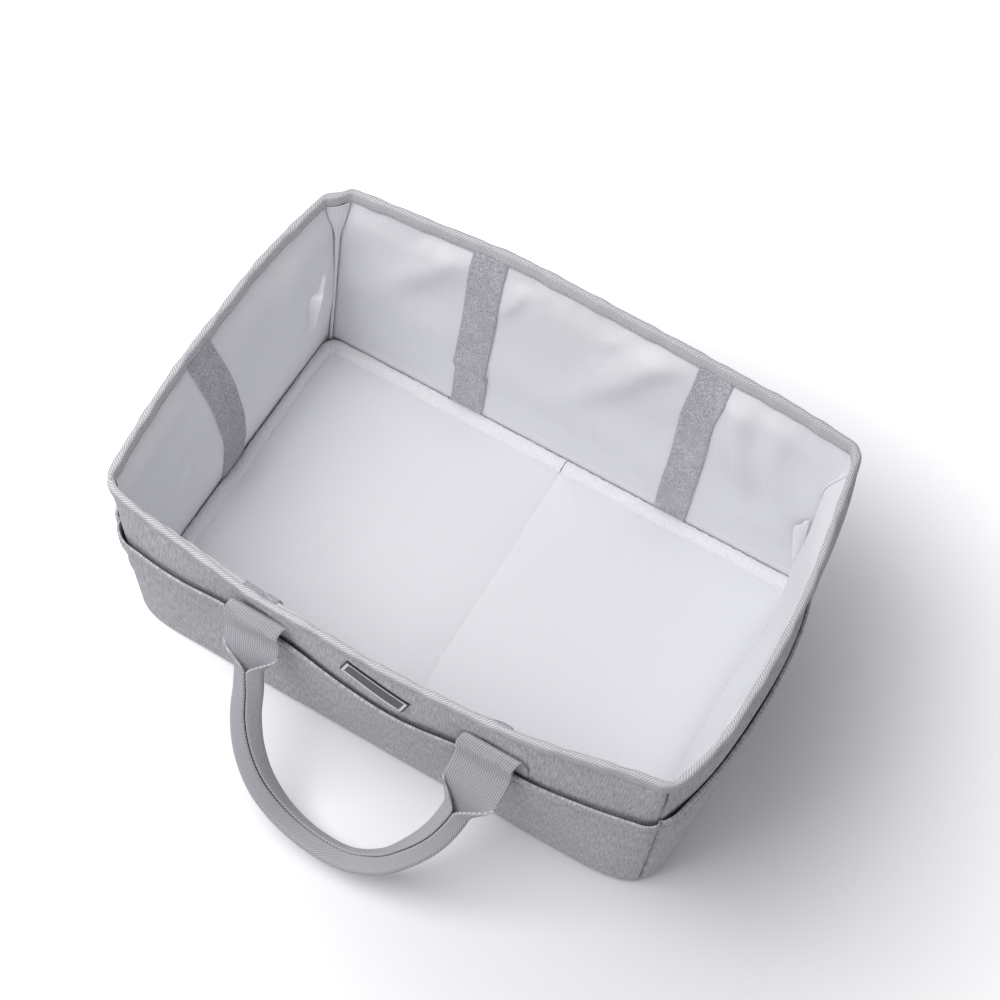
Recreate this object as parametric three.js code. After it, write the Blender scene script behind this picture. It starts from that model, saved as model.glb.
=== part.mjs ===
// Diaper caddy: an open fabric box with board-stiffened walls, outer pockets on four sides,
// two webbing handles that swing on their sewn folds, and a base insert that folds and lifts out.
// Millimetres, +Z up. The origin is on the floor, under the middle of the box.
import * as THREE from 'three';

// Box, measured over the outer fabric at the corner seams
const RIM_LENGTH = 380;
const RIM_WIDTH = 252;
const BASE_LENGTH = 400;
const BASE_WIDTH = 256;
const HEIGHT = 196;
// The walls belly out between the corners, from nothing at the floor to this much at the rim
const LONG_WALL_BOW = 15;
const SHORT_WALL_BOW = 11;
const BOW_RISE = 1.5;
// Powers of the belly's curve along a wall: the higher, the fuller towards the corners
const LONG_WALL_CURVE = 2;
const SHORT_WALL_CURVE = 4;

// Wall layers, from outside to inside
const FABRIC_THICKNESS = 1.0;
const BOARD_THICKNESS = 3.0;
const LINING_THICKNESS = 0.8;
const BOTTOM_THICKNESS = 1.2;
// Air left between neighbouring layers, and under a strip that is sewn onto a curved wall
const LAYER_GAP = 0.3;
const STRIP_GAP = 0.5;

// Tape folded over the rim
const BINDING_THICKNESS = 1.0;
const BINDING_DEPTH = 11;

// Outer pockets, whose mouths lie this far below the rim
const POCKET_DROP = 61;
const LONG_POCKET_BULGE = 14;
const SHORT_POCKET_BULGE = 12;
const POCKET_FLARE = 1.4;
const HEM_DEPTH = 14;
const HEM_THICKNESS = 2.2;

// Strips sewn onto the lining
const LOOP_TAPE_WIDTH = 25;
const LOOP_TAPE_THICKNESS = 1.5;
const LOOP_TAPE_SPACING = 164;
const SIDE_TAPE_OFFSET = -8;
const CORNER_TAPE_WIDTH = 9;
const CORNER_TAPE_THICKNESS = 1.2;
const LABEL_WIDTH = 14;
const LABEL_HEIGHT = 30;
const LABEL_THICKNESS = 0.6;
const LABEL_LEVEL = 58;
const LABEL_FROM_CORNER = 20;

// Bare patch on the front wall, its middle this far below the rim
const PATCH_WIDTH = 46;
const PATCH_HEIGHT = 15;
const PATCH_THICKNESS = 1.2;
const PATCH_DROP = 46;

// Handles of flat webbing, folded over at the fold line and closed into a round grip
const WEBBING_WIDTH = 38;
const WEBBING_THICKNESS = 2.2;
const HANDLE_SPACING = 160;
const FOLD_DROP = 36;
const FOLD_RADIUS = 2.4;
const FOLD_EDGE = 1.0;
const FOLD_BLEND = 6;
const ANCHOR_BELOW_MOUTH = 8;
const ANCHOR_LIFT = 16;
const HANDLE_REACH = 162;
const TAB_LENGTH = 30;
const TAPER_LENGTH = 22;
const GRIP_WIDTH = 22;
const GRIP_THICKNESS = 12;
const GRIP_SPACING = 144;
const LEG_LENGTH = 85;
const HANDLE_CLEARANCE = 1.2;
const FLOOR_CLEARANCE = 1.5;

// Base insert: two padded boards in one cover, with a bound border and a sewn fold between them
const INSERT_CLEARANCE = 1.2;
const INSERT_CORNER_RADIUS = 28;
const INSERT_BORDER_WIDTH = 8;
const INSERT_SHEET_THICKNESS = 0.6;
const INSERT_BOARD_THICKNESS = 2.0;
const CUSHION_EDGE_HEIGHT = 4.5;
const CUSHION_CROWN_HEIGHT = 2.8;
const BORDER_STEP_HEIGHT = 1.5;
const BORDER_ROUND_RADIUS = 1.5;
const FOLD_GAP_WIDTH = 2.0;
// Shares of the crown's height at shares of the way from the cushion's middle to its edge
const CROWN_PROFILE = [[1, 0], [0.97, 0.45], [0.9, 0.8], [0.7, 1]];

// Facets
const WALL_COLUMNS = 10;
const WALL_ROWS = 6;
const POCKET_ROWS = 4;
const POCKET_END_COLUMNS = 4;
const STRIP_ROWS = 6;
const ANCHOR_ROWS = 5;
const SECTION_POINTS = 12;
const TAPER_STEPS = 4;
const GRIP_STEPS = 20;
const CORNER_STEPS = 5;
const EDGE_STEPS = 4;

const WALL = FABRIC_THICKNESS + BOARD_THICKNESS + LINING_THICKNESS + 2 * LAYER_GAP;
const WALL_FOOT = BOTTOM_THICKNESS + LAYER_GAP;
const WALL_TOP = HEIGHT - BINDING_THICKNESS - LAYER_GAP;
const FLOOR_TOP = WALL_FOOT + LINING_THICKNESS;
const STRIP_TOP = HEIGHT - BINDING_DEPTH - STRIP_GAP;
const STRIP_FOOT = FLOOR_TOP + STRIP_GAP;
const MOUTH_LEVEL = HEIGHT - POCKET_DROP;
const FOLD_LEVEL = HEIGHT - FOLD_DROP;
const HANDLE_X = HANDLE_SPACING / 2;

function fabric(color, roughness = 0.9) {
  return new THREE.MeshStandardMaterial({ color, roughness, metalness: 0 });
}
const greyCloth = fabric('#a7a6aa');
const greyTwill = fabric('#b3b2b6');
const greyWebbing = fabric('#a4a3a8', 0.75);
const greyLoop = fabric('#98979f', 1.0);
const whiteLining = fabric('#e4e4e9', 0.8);
const whiteTape = fabric('#dcdbe0');
const whiteCushion = fabric('#e6e6ea');
const whiteLabel = fabric('#f1f1f2', 0.7);
const stiffBoard = fabric('#cfcac0');
const darkPatch = fabric('#46464b', 0.6);

const caddy = new THREE.Group();

function addPiece(name, geometry, material, parent = caddy) {
  const mesh = new THREE.Mesh(geometry, material);
  mesh.name = name;
  parent.add(mesh);
  return mesh;
}

// A closed body from points and triangles, turned so that its faces point outwards
function closedBody(points, triangles) {
  const corner = new THREE.Vector3();
  let volume = 0;
  for (const [a, b, c] of triangles) {
    volume += points[a].dot(corner.crossVectors(points[b], points[c]));
  }
  const order = volume > 0 ? (t) => t : ([a, b, c]) => [a, c, b];
  const geometry = new THREE.BufferGeometry();
  const coordinates = points.flatMap((p) => p.toArray());
  geometry.setAttribute('position', new THREE.Float32BufferAttribute(coordinates, 3));
  geometry.setIndex(triangles.flatMap(order));
  geometry.computeVertexNormals();
  return geometry;
}

// A thin solid between two sheets of points: pointAt(column value, row value, 0 inside or 1 outside)
function slab(columns, rows, pointAt) {
  const points = [];
  const triangles = [];
  const across = columns.length;
  const index = (i, j, face) => (face * rows.length + j) * across + i;
  for (const face of [0, 1]) {
    for (const row of rows) {
      for (const column of columns) {
        points.push(pointAt(column, row, face));
      }
    }
  }
  const quad = (a, b, c, d) => triangles.push([a, b, c], [a, c, d]);
  const end = across - 1;
  const top = rows.length - 1;
  for (let j = 0; j < top; j++) {
    for (let i = 0; i < end; i++) {
      quad(index(i, j, 1), index(i + 1, j, 1), index(i + 1, j + 1, 1), index(i, j + 1, 1));
      triangles.push([index(i, j, 0), index(i + 1, j + 1, 0), index(i + 1, j, 0)]);
      triangles.push([index(i, j, 0), index(i, j + 1, 0), index(i + 1, j + 1, 0)]);
    }
    quad(index(0, j, 0), index(0, j, 1), index(0, j + 1, 1), index(0, j + 1, 0));
    quad(index(end, j, 1), index(end, j, 0), index(end, j + 1, 0), index(end, j + 1, 1));
  }
  for (let i = 0; i < end; i++) {
    quad(index(i, 0, 0), index(i + 1, 0, 0), index(i + 1, 0, 1), index(i, 0, 1));
    quad(index(i, top, 1), index(i + 1, top, 1), index(i + 1, top, 0), index(i, top, 0));
  }
  return closedBody(points, triangles);
}

// A solid through a row of sections with equally many points, closed into a ring or capped at both ends
function loft(sections, ring = false) {
  const around = sections[0].length;
  const points = sections.flat();
  const triangles = [];
  const spans = ring ? sections.length : sections.length - 1;
  for (let s = 0; s < spans; s++) {
    const here = s * around;
    const next = ((s + 1) % sections.length) * around;
    for (let k = 0; k < around; k++) {
      const after = (k + 1) % around;
      triangles.push([here + k, here + after, next + after], [here + k, next + after, next + k]);
    }
  }
  if (!ring) {
    const last = (sections.length - 1) * around;
    for (let k = 1; k < around - 1; k++) {
      triangles.push([0, k + 1, k], [last, last + k, last + k + 1]);
    }
  }
  return closedBody(points, triangles);
}

function steps(from, to, count) {
  return Array.from({ length: count + 1 }, (_, k) => from + ((to - from) * k) / count);
}

// Outer fabric face of the walls: half sizes at the corners and the belly between them, at a level
const halfLength = (z) => THREE.MathUtils.lerp(BASE_LENGTH, RIM_LENGTH, z / HEIGHT) / 2;
const halfWidth = (z) => THREE.MathUtils.lerp(BASE_WIDTH, RIM_WIDTH, z / HEIGHT) / 2;
const rise = (z) => Math.pow(Math.max(z, 0) / HEIGHT, BOW_RISE);

const walls = [
  { name: 'front', long: true, sign: -1 },
  { name: 'right', long: false, sign: 1 },
  { name: 'back', long: true, sign: 1 },
  { name: 'left', long: false, sign: -1 },
];
const [frontWall, rightWall, backWall, leftWall] = walls;

// A point of a wall: u runs from -1 to 1 between its corners, and offset and bulge lie outwards
function wallPoint(wall, u, z, offset, bulge = 0) {
  const [depth, curve] = wall.long ? [LONG_WALL_BOW, LONG_WALL_CURVE] : [SHORT_WALL_BOW, SHORT_WALL_CURVE];
  const bow = depth * rise(z) * (1 - Math.abs(u) ** curve) + bulge;
  const x = halfLength(z) + offset;
  const y = halfWidth(z) + offset;
  if (wall.long) {
    return new THREE.Vector3(u * x, wall.sign * (y + bow), z);
  }
  return new THREE.Vector3(wall.sign * (x + bow), u * y, z);
}

// The u of a place along a wall, in millimetres from its middle
const alongWall = (wall, place, z) => place / (wall.long ? halfLength(z) : halfWidth(z));

// Walls: outer fabric, board and lining, mitred at the corner seams
const seamEnd = (wall) => 1 - LAYER_GAP / (wall.long ? RIM_LENGTH / 2 : RIM_WIDTH / 2);
const wallLayers = [
  { name: 'outer', outside: 0, thickness: FABRIC_THICKNESS, material: greyCloth },
  { name: 'board', outside: FABRIC_THICKNESS + LAYER_GAP, thickness: BOARD_THICKNESS, material: stiffBoard },
  { name: 'lining', outside: WALL - LINING_THICKNESS, thickness: LINING_THICKNESS, material: whiteLining },
];
for (const layer of wallLayers) {
  for (const wall of walls) {
    const columns = steps(-seamEnd(wall), seamEnd(wall), WALL_COLUMNS);
    const rows = steps(WALL_FOOT, WALL_TOP, WALL_ROWS);
    const offsetAt = [-layer.outside - layer.thickness, -layer.outside];
    const shape = slab(columns, rows, (u, z, face) => wallPoint(wall, u, z, offsetAt[face]));
    addPiece(`${layer.name}_${wall.name}`, shape, layer.material);
  }
}

// Bottom fabric, which also takes in the feet of the pockets, and the lining's floor above it
function floorPanel(halfX, halfY, low, thickness) {
  const shape = new THREE.BoxGeometry(2 * halfX, 2 * halfY, thickness);
  return shape.translate(0, 0, low + thickness / 2);
}
const bottomReach = LAYER_GAP + FABRIC_THICKNESS;
const bottom = floorPanel(BASE_LENGTH / 2 + bottomReach, BASE_WIDTH / 2 + bottomReach, 0, BOTTOM_THICKNESS);
addPiece('outer_bottom', bottom, greyCloth);
const floorInset = WALL + LAYER_GAP;
const floorHalfX = Math.min(halfLength(WALL_FOOT), halfLength(FLOOR_TOP)) - floorInset;
const floorHalfY = Math.min(halfWidth(WALL_FOOT), halfWidth(FLOOR_TOP)) - floorInset;
addPiece('lining_floor', floorPanel(floorHalfX, floorHalfY, WALL_FOOT, LINING_THICKNESS), whiteLining);

// Rim binding: one tape folded over the top edge, running round all four walls
function bindingSection(wall, u) {
  const outside = LAYER_GAP + BINDING_THICKNESS;
  const inside = -WALL - LAYER_GAP - BINDING_THICKNESS;
  const low = HEIGHT - BINDING_DEPTH;
  const crease = HEIGHT - BINDING_THICKNESS;
  const profile = [
    [outside, low], [outside, HEIGHT], [inside, HEIGHT], [inside, low],
    [inside + BINDING_THICKNESS, low], [inside + BINDING_THICKNESS, crease],
    [LAYER_GAP, crease], [LAYER_GAP, low],
  ];
  return profile.map(([offset, z]) => wallPoint(wall, u, z, offset));
}
const rimTurns = [[frontWall, 1], [rightWall, 1], [backWall, -1], [leftWall, -1]];
const bindingSections = rimTurns.flatMap(([wall, way]) =>
  steps(-way, way, WALL_COLUMNS).slice(0, -1).map((u) => bindingSection(wall, u)));
addPiece('rim_binding', loft(bindingSections, true), greyTwill);

// Pockets: sewn in at the floor and the corners, and on the long walls over the feet of the anchors
const anchorSeat = WEBBING_THICKNESS + 2 * STRIP_GAP;
function pocketBulge(wall, u, z) {
  const flare = Math.pow(z / MOUTH_LEVEL, POCKET_FLARE);
  if (!wall.long) {
    return SHORT_POCKET_BULGE * (1 - u * u) * flare;
  }
  const place = Math.abs(u) * halfLength(z);
  if (place < HANDLE_X) {
    return (anchorSeat + (LONG_POCKET_BULGE - anchorSeat) * (1 - (place / HANDLE_X) ** 2)) * flare;
  }
  const share = Math.min(1, (place - HANDLE_X) / (halfLength(z) - HANDLE_X));
  return (anchorSeat * (1 - share) + 4 * LONG_POCKET_BULGE * share * (1 - share)) * flare;
}
function pocketColumns(wall) {
  const end = seamEnd(wall);
  if (!wall.long) {
    return steps(-end, end, WALL_COLUMNS);
  }
  const seat = HANDLE_X / halfLength(MOUTH_LEVEL);
  const margin = WEBBING_WIDTH / 2 / halfLength(MOUTH_LEVEL);
  const outerEnd = steps(seat + margin, end, POCKET_END_COLUMNS);
  const half = [0, (seat - margin) / 2, seat - margin, seat, ...outerEnd];
  return [...half.slice(1).reverse().map((u) => -u), ...half];
}
const hemFoot = MOUTH_LEVEL - HEM_DEPTH;
const hemStep = hemFoot + HEM_THICKNESS - FABRIC_THICKNESS;
const pocketRows = [...steps(WALL_FOOT, hemFoot, POCKET_ROWS), hemStep, MOUTH_LEVEL];
for (const wall of walls) {
  const shape = slab(pocketColumns(wall), pocketRows, (u, z, face) => {
    const thickness = z > hemFoot ? HEM_THICKNESS : FABRIC_THICKNESS;
    const bulge = pocketBulge(wall, u, z) + (face ? thickness - FABRIC_THICKNESS : 0);
    return wallPoint(wall, u, z, LAYER_GAP + face * FABRIC_THICKNESS, bulge);
  });
  addPiece(`pocket_${wall.name}`, shape, greyCloth);
}

// A flat strip sewn on a wall: its middle along the wall, its width and levels, and its depth inwards
function wallStrip(wall, middle, width, [low, high], outside, thickness) {
  const columns = steps(middle - width / 2, middle + width / 2, 2);
  const rows = steps(low, high, STRIP_ROWS);
  return slab(columns, rows, (place, z, face) =>
    wallPoint(wall, alongWall(wall, place, z), z, outside - (face ? 0 : thickness)));
}
const onLining = -WALL - STRIP_GAP;
const stripLevels = [STRIP_FOOT, STRIP_TOP];

// Loop tapes on the lining, from the binding down to the floor
const loopTapes = [
  ['loop_tape_back_left', backWall, -LOOP_TAPE_SPACING / 2],
  ['loop_tape_back_right', backWall, LOOP_TAPE_SPACING / 2],
  ['loop_tape_front_left', frontWall, -LOOP_TAPE_SPACING / 2],
  ['loop_tape_front_right', frontWall, LOOP_TAPE_SPACING / 2],
  ['loop_tape_left', leftWall, SIDE_TAPE_OFFSET],
];
for (const [name, wall, middle] of loopTapes) {
  const shape = wallStrip(wall, middle, LOOP_TAPE_WIDTH, stripLevels, onLining, LOOP_TAPE_THICKNESS);
  addPiece(name, shape, greyLoop);
}

// Corner tapes, which cover the raw edges of the four upright seams inside
function cornerTapeSection(signX, signY, z) {
  const x = halfLength(z) - WALL;
  const y = halfWidth(z) - WALL;
  const inward = CORNER_TAPE_THICKNESS * Math.SQRT1_2;
  const onSeam = [
    [x - CORNER_TAPE_WIDTH, y - STRIP_GAP],
    [x - STRIP_GAP, y - CORNER_TAPE_WIDTH],
  ];
  const facing = onSeam.map(([px, py]) => [px - inward, py - inward]).reverse();
  return [...onSeam, ...facing].map(([px, py]) => new THREE.Vector3(signX * px, signY * py, z));
}
for (const [endName, signY] of [['front', -1], ['back', 1]]) {
  for (const [sideName, signX] of [['left', -1], ['right', 1]]) {
    const levels = steps(...stripLevels, STRIP_ROWS);
    const shape = loft(levels.map((z) => cornerTapeSection(signX, signY, z)));
    addPiece(`corner_tape_${endName}_${sideName}`, shape, whiteTape);
  }
}

// Blank care labels, caught in the two back corner seams
const labelLevels = [LABEL_LEVEL, LABEL_LEVEL + LABEL_HEIGHT];
const labelInset = WALL + LABEL_FROM_CORNER + LABEL_WIDTH / 2;
const careLabels = [
  ['care_label_left', leftWall, halfWidth(LABEL_LEVEL) - labelInset],
  ['care_label_right', backWall, halfLength(LABEL_LEVEL) - labelInset],
];
for (const [name, wall, middle] of careLabels) {
  const shape = wallStrip(wall, middle, LABEL_WIDTH, labelLevels, onLining, LABEL_THICKNESS);
  addPiece(name, shape, whiteLabel);
}

// Bare patch on the front wall, between the handles
const patchLow = HEIGHT - PATCH_DROP - PATCH_HEIGHT / 2;
const patchLevels = [patchLow, patchLow + PATCH_HEIGHT];
const onFabric = STRIP_GAP + PATCH_THICKNESS;
const patch = wallStrip(frontWall, 0, PATCH_WIDTH, patchLevels, onFabric, PATCH_THICKNESS);
addPiece('front_patch', patch, darkPatch);

// Handles. The fold line stands clear of the binding, so that the handle can swing up past the rim
const outwards = (place, z) => -wallPoint(frontWall, place / halfLength(z), z, 0).y;
const innerEdge = HANDLE_X - WEBBING_WIDTH / 2;
const rimFace = outwards(innerEdge, HEIGHT) + LAYER_GAP + BINDING_THICKNESS;
const anchorFace = outwards(innerEdge, FOLD_LEVEL) + STRIP_GAP + WEBBING_THICKNESS + LAYER_GAP;
const FOLD_OUT = Math.max(rimFace + HANDLE_CLEARANCE + WEBBING_THICKNESS / 2, anchorFace + FOLD_RADIUS);

// At rest a handle hangs outwards, with its grip just clear of the floor and of the pocket
const floorShare = (FOLD_LEVEL - FLOOR_CLEARANCE - GRIP_WIDTH / 2) / HANDLE_REACH;
const floorSlant = floorShare < 1 ? Math.acos(floorShare) : 0;
const pocketFace = outwards(HANDLE_X, MOUTH_LEVEL) + LAYER_GAP + LONG_POCKET_BULGE + HEM_THICKNESS;
const pocketSlant = Math.atan2(pocketFace - FOLD_OUT + HANDLE_CLEARANCE, POCKET_DROP - FOLD_DROP);
const REST_SLANT = Math.max(floorSlant, pocketSlant);

// Anchors: the webbing's ends, sewn flat on the wall and lifting off it towards the fold
function anchor(signX) {
  const columns = steps(signX * HANDLE_X - WEBBING_WIDTH / 2, signX * HANDLE_X + WEBBING_WIDTH / 2, 2);
  const low = MOUTH_LEVEL - ANCHOR_BELOW_MOUTH;
  const lift = FOLD_LEVEL - ANCHOR_LIFT;
  const rows = [...steps(low, lift, 2), ...steps(lift, FOLD_LEVEL + FOLD_RADIUS, ANCHOR_ROWS).slice(1)];
  const foldFace = FOLD_OUT - FOLD_RADIUS - LAYER_GAP - WEBBING_THICKNESS;
  return slab(columns, rows, (x, z, face) => {
    const onWall = outwards(x, z) + STRIP_GAP;
    const share = THREE.MathUtils.smoothstep(z, lift, FOLD_LEVEL);
    const out = Math.max(onWall, THREE.MathUtils.lerp(onWall, foldFace, share));
    return new THREE.Vector3(x, -out - face * WEBBING_THICKNESS, z);
  });
}

// The loop in its own plane: x across, and t from the fold line towards the end of the grip
function loopPath() {
  const path = [];
  const legX = GRIP_SPACING / 2;
  const tabEnd = TAB_LENGTH + TAPER_LENGTH;
  const foldPlaces = [-FOLD_RADIUS, -FOLD_RADIUS / 2, 0, FOLD_BLEND / 2, FOLD_BLEND];
  const legPlaces = [...foldPlaces, ...steps(TAB_LENGTH, tabEnd, TAPER_STEPS), LEG_LENGTH];
  for (const t of legPlaces) {
    const x = THREE.MathUtils.lerp(HANDLE_X, legX, THREE.MathUtils.smoothstep(t, TAB_LENGTH, LEG_LENGTH));
    path.push({ x: -x, t, along: t });
  }
  for (const angle of steps(0, Math.PI, GRIP_STEPS).slice(1, -1)) {
    const t = LEG_LENGTH + (HANDLE_REACH - LEG_LENGTH) * Math.sin(angle);
    path.push({ x: -legX * Math.cos(angle), t, along: tabEnd });
  }
  const mirrored = path.slice(0, legPlaces.length).reverse();
  return [...path, ...mirrored.map((p) => ({ ...p, x: -p.x }))];
}
function loopHalfSizes(along) {
  const round = Math.sqrt(Math.max(FOLD_EDGE ** 2, FOLD_RADIUS ** 2 - along ** 2));
  const runOut = THREE.MathUtils.smoothstep(along, 0, FOLD_BLEND);
  const flat = THREE.MathUtils.lerp(FOLD_RADIUS, WEBBING_THICKNESS / 2, runOut);
  const share = THREE.MathUtils.smoothstep(along, TAB_LENGTH, TAB_LENGTH + TAPER_LENGTH);
  return {
    width: THREE.MathUtils.lerp(WEBBING_WIDTH, GRIP_WIDTH, share) / 2,
    thickness: THREE.MathUtils.lerp(along < 0 ? round : flat, GRIP_THICKNESS / 2, share),
  };
}
function handleLoop() {
  const path = loopPath();
  const down = new THREE.Vector3(0, -Math.sin(REST_SLANT), -Math.cos(REST_SLANT));
  const normal = new THREE.Vector3(0, -Math.cos(REST_SLANT), Math.sin(REST_SLANT));
  const sections = path.map((p, k) => {
    const before = path[Math.max(k - 1, 0)];
    const after = path[Math.min(k + 1, path.length - 1)];
    const run = Math.hypot(after.x - before.x, after.t - before.t);
    const acrossX = (after.t - before.t) / run;
    const acrossT = -(after.x - before.x) / run;
    const half = loopHalfSizes(p.along);
    return steps(0, 2 * Math.PI, SECTION_POINTS).slice(0, -1).map((angle) => {
      const squared = (value) => Math.sign(value) * Math.sqrt(Math.abs(value));
      const across = half.width * squared(Math.cos(angle));
      const out = half.thickness * squared(Math.sin(angle));
      const point = new THREE.Vector3(p.x + across * acrossX, -FOLD_OUT, FOLD_LEVEL);
      return point.addScaledVector(down, p.t + across * acrossT).addScaledVector(normal, out);
    });
  });
  return loft(sections);
}
for (const [endName, turn] of [['front', 0], ['back', Math.PI]]) {
  const end = new THREE.Group();
  end.rotation.z = turn;
  caddy.add(end);
  const [leftSign, rightSign] = endName === 'front' ? [-1, 1] : [1, -1];
  addPiece(`handle_anchor_${endName}_left`, anchor(leftSign), greyWebbing, end);
  addPiece(`handle_anchor_${endName}_right`, anchor(rightSign), greyWebbing, end);
  addPiece(`handle_${endName}`, handleLoop(), greyWebbing, end);
}

// Base insert, as large as passes the rim and the strips on the lining
const rimInset = WALL + LAYER_GAP + BINDING_THICKNESS + INSERT_CLEARANCE;
const stripInset = WALL + STRIP_GAP + LOOP_TAPE_THICKNESS + INSERT_CLEARANCE;
const insertHalfY = Math.min(RIM_WIDTH / 2 - rimInset, BASE_WIDTH / 2 - stripInset);
const cornerShare = (insertHalfY - INSERT_CORNER_RADIUS) / (RIM_WIDTH / 2);
const rimReach = RIM_LENGTH / 2 + SHORT_WALL_BOW * (1 - cornerShare ** SHORT_WALL_CURVE);
const insertHalfX = Math.min(rimReach - rimInset, BASE_LENGTH / 2 - stripInset);
const insertFoot = FLOOR_TOP + LAYER_GAP;
const boardFoot = insertFoot + INSERT_SHEET_THICKNESS + LAYER_GAP;
const cushionFoot = boardFoot + INSERT_BOARD_THICKNESS + LAYER_GAP;
const borderTop = cushionFoot + CUSHION_EDGE_HEIGHT + BORDER_STEP_HEIGHT;

// The right half's outline from the fold line outwards, drawn in by inset on its three free sides
function halfOutline(inset, foldX) {
  const x = insertHalfX - inset;
  const y = insertHalfY - inset;
  const radius = INSERT_CORNER_RADIUS - inset;
  const corner = (centreY, from, to) => steps(from, to, CORNER_STEPS).map((angle) =>
    new THREE.Vector2(x - radius + radius * Math.cos(angle), centreY + radius * Math.sin(angle)));
  return [
    new THREE.Vector2(foldX, -y),
    ...corner(-(y - radius), -Math.PI / 2, 0),
    ...corner(y - radius, 0, Math.PI / 2),
    new THREE.Vector2(foldX, y),
  ];
}
const cushionInset = INSERT_BORDER_WIDTH + LAYER_GAP;
const foldX = FOLD_GAP_WIDTH / 2;

function flatHalf(low, thickness) {
  const shape = new THREE.Shape(halfOutline(cushionInset, foldX));
  return new THREE.ExtrudeGeometry(shape, { depth: thickness, bevelEnabled: false }).translate(0, 0, low);
}

// Border: a rounded welt round the three free sides
function borderHalf() {
  const outer = halfOutline(BORDER_ROUND_RADIUS, foldX + BORDER_ROUND_RADIUS);
  const inner = halfOutline(INSERT_BORDER_WIDTH - BORDER_ROUND_RADIUS, foldX + BORDER_ROUND_RADIUS).reverse();
  const shape = new THREE.ExtrudeGeometry(new THREE.Shape([...outer, ...inner]), {
    depth: borderTop - insertFoot - 2 * BORDER_ROUND_RADIUS,
    bevelSize: BORDER_ROUND_RADIUS,
    bevelThickness: BORDER_ROUND_RADIUS,
    bevelSegments: 2,
  });
  return shape.translate(0, 0, insertFoot + BORDER_ROUND_RADIUS);
}

// Cushion: flat below, low where it is sewn down at its edges and the fold, and crowned between them
function cushionHalf() {
  const outline = halfOutline(cushionInset, foldX);
  const rim = outline.flatMap((p, k) => {
    const next = outline[(k + 1) % outline.length];
    const count = p.distanceTo(next) > INSERT_CORNER_RADIUS ? EDGE_STEPS : 1;
    return steps(0, 1, count).slice(0, -1).map((share) => p.clone().lerp(next, share));
  });
  const middle = new THREE.Vector2((foldX + insertHalfX - cushionInset) / 2, 0);
  const points = [];
  const triangles = [];
  const pushRing = (scale, z) => {
    for (const p of rim) {
      const place = middle.clone().lerp(p, scale);
      points.push(new THREE.Vector3(place.x, place.y, z));
    }
  };
  pushRing(1, cushionFoot);
  for (const [scale, crown] of CROWN_PROFILE) {
    pushRing(scale, cushionFoot + CUSHION_EDGE_HEIGHT + CUSHION_CROWN_HEIGHT * crown);
  }
  const rings = CROWN_PROFILE.length;
  const around = rim.length;
  for (let r = 0; r < rings; r++) {
    for (let k = 0; k < around; k++) {
      const here = r * around;
      const next = here + around;
      const after = (k + 1) % around;
      triangles.push([here + k, here + after, next + after], [here + k, next + after, next + k]);
    }
  }
  const crownTop = cushionFoot + CUSHION_EDGE_HEIGHT + CUSHION_CROWN_HEIGHT;
  points.push(new THREE.Vector3(middle.x, middle.y, cushionFoot));
  points.push(new THREE.Vector3(middle.x, middle.y, crownTop));
  const topRing = rings * around;
  for (let k = 0; k < around; k++) {
    const after = (k + 1) % around;
    triangles.push([points.length - 2, after, k], [points.length - 1, topRing + k, topRing + after]);
  }
  return closedBody(points, triangles);
}

for (const [sideName, turn] of [['left', Math.PI], ['right', 0]]) {
  const half = new THREE.Group();
  half.rotation.z = turn;
  caddy.add(half);
  addPiece(`base_sheet_${sideName}`, flatHalf(insertFoot, INSERT_SHEET_THICKNESS), whiteLining, half);
  addPiece(`base_board_${sideName}`, flatHalf(boardFoot, INSERT_BOARD_THICKNESS), stiffBoard, half);
  addPiece(`base_cushion_${sideName}`, cushionHalf(), whiteCushion, half);
  addPiece(`base_border_${sideName}`, borderHalf(), whiteTape, half);
}

export default caddy;
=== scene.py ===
import math

import bpy
import numpy as np
from mathutils import Matrix, Vector


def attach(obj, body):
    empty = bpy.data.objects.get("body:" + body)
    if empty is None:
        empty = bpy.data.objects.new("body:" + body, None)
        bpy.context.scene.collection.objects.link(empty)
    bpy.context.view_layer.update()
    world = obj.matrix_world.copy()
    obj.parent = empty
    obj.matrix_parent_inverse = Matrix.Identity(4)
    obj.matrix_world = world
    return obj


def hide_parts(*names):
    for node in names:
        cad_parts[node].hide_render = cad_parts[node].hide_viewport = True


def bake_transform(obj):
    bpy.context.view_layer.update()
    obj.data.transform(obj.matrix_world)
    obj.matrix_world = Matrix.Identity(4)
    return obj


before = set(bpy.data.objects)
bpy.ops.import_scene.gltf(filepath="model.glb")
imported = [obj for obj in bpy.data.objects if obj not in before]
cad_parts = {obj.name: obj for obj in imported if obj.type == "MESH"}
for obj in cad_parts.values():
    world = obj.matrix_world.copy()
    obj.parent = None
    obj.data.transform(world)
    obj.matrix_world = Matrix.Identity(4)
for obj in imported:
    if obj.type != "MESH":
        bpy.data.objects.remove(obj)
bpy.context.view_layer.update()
scene = bpy.context.scene
scene.view_settings.view_transform = "Standard"
MM = 0.001


# Studio: a white sweep under one soft box, above the box and a little to its left, and an even weak fill.
# The camera stands above the front right corner and looks down into the box, rolled a little.
def tone(code):
    """An sRGB hex colour as linear RGBA."""
    channels = [int(code[k:k + 2], 16) / 255 for k in (1, 3, 5)]
    return [*(c / 12.92 if c <= 0.04045 else ((c + 0.055) / 1.055) ** 2.4 for c in channels), 1.0]


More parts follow.
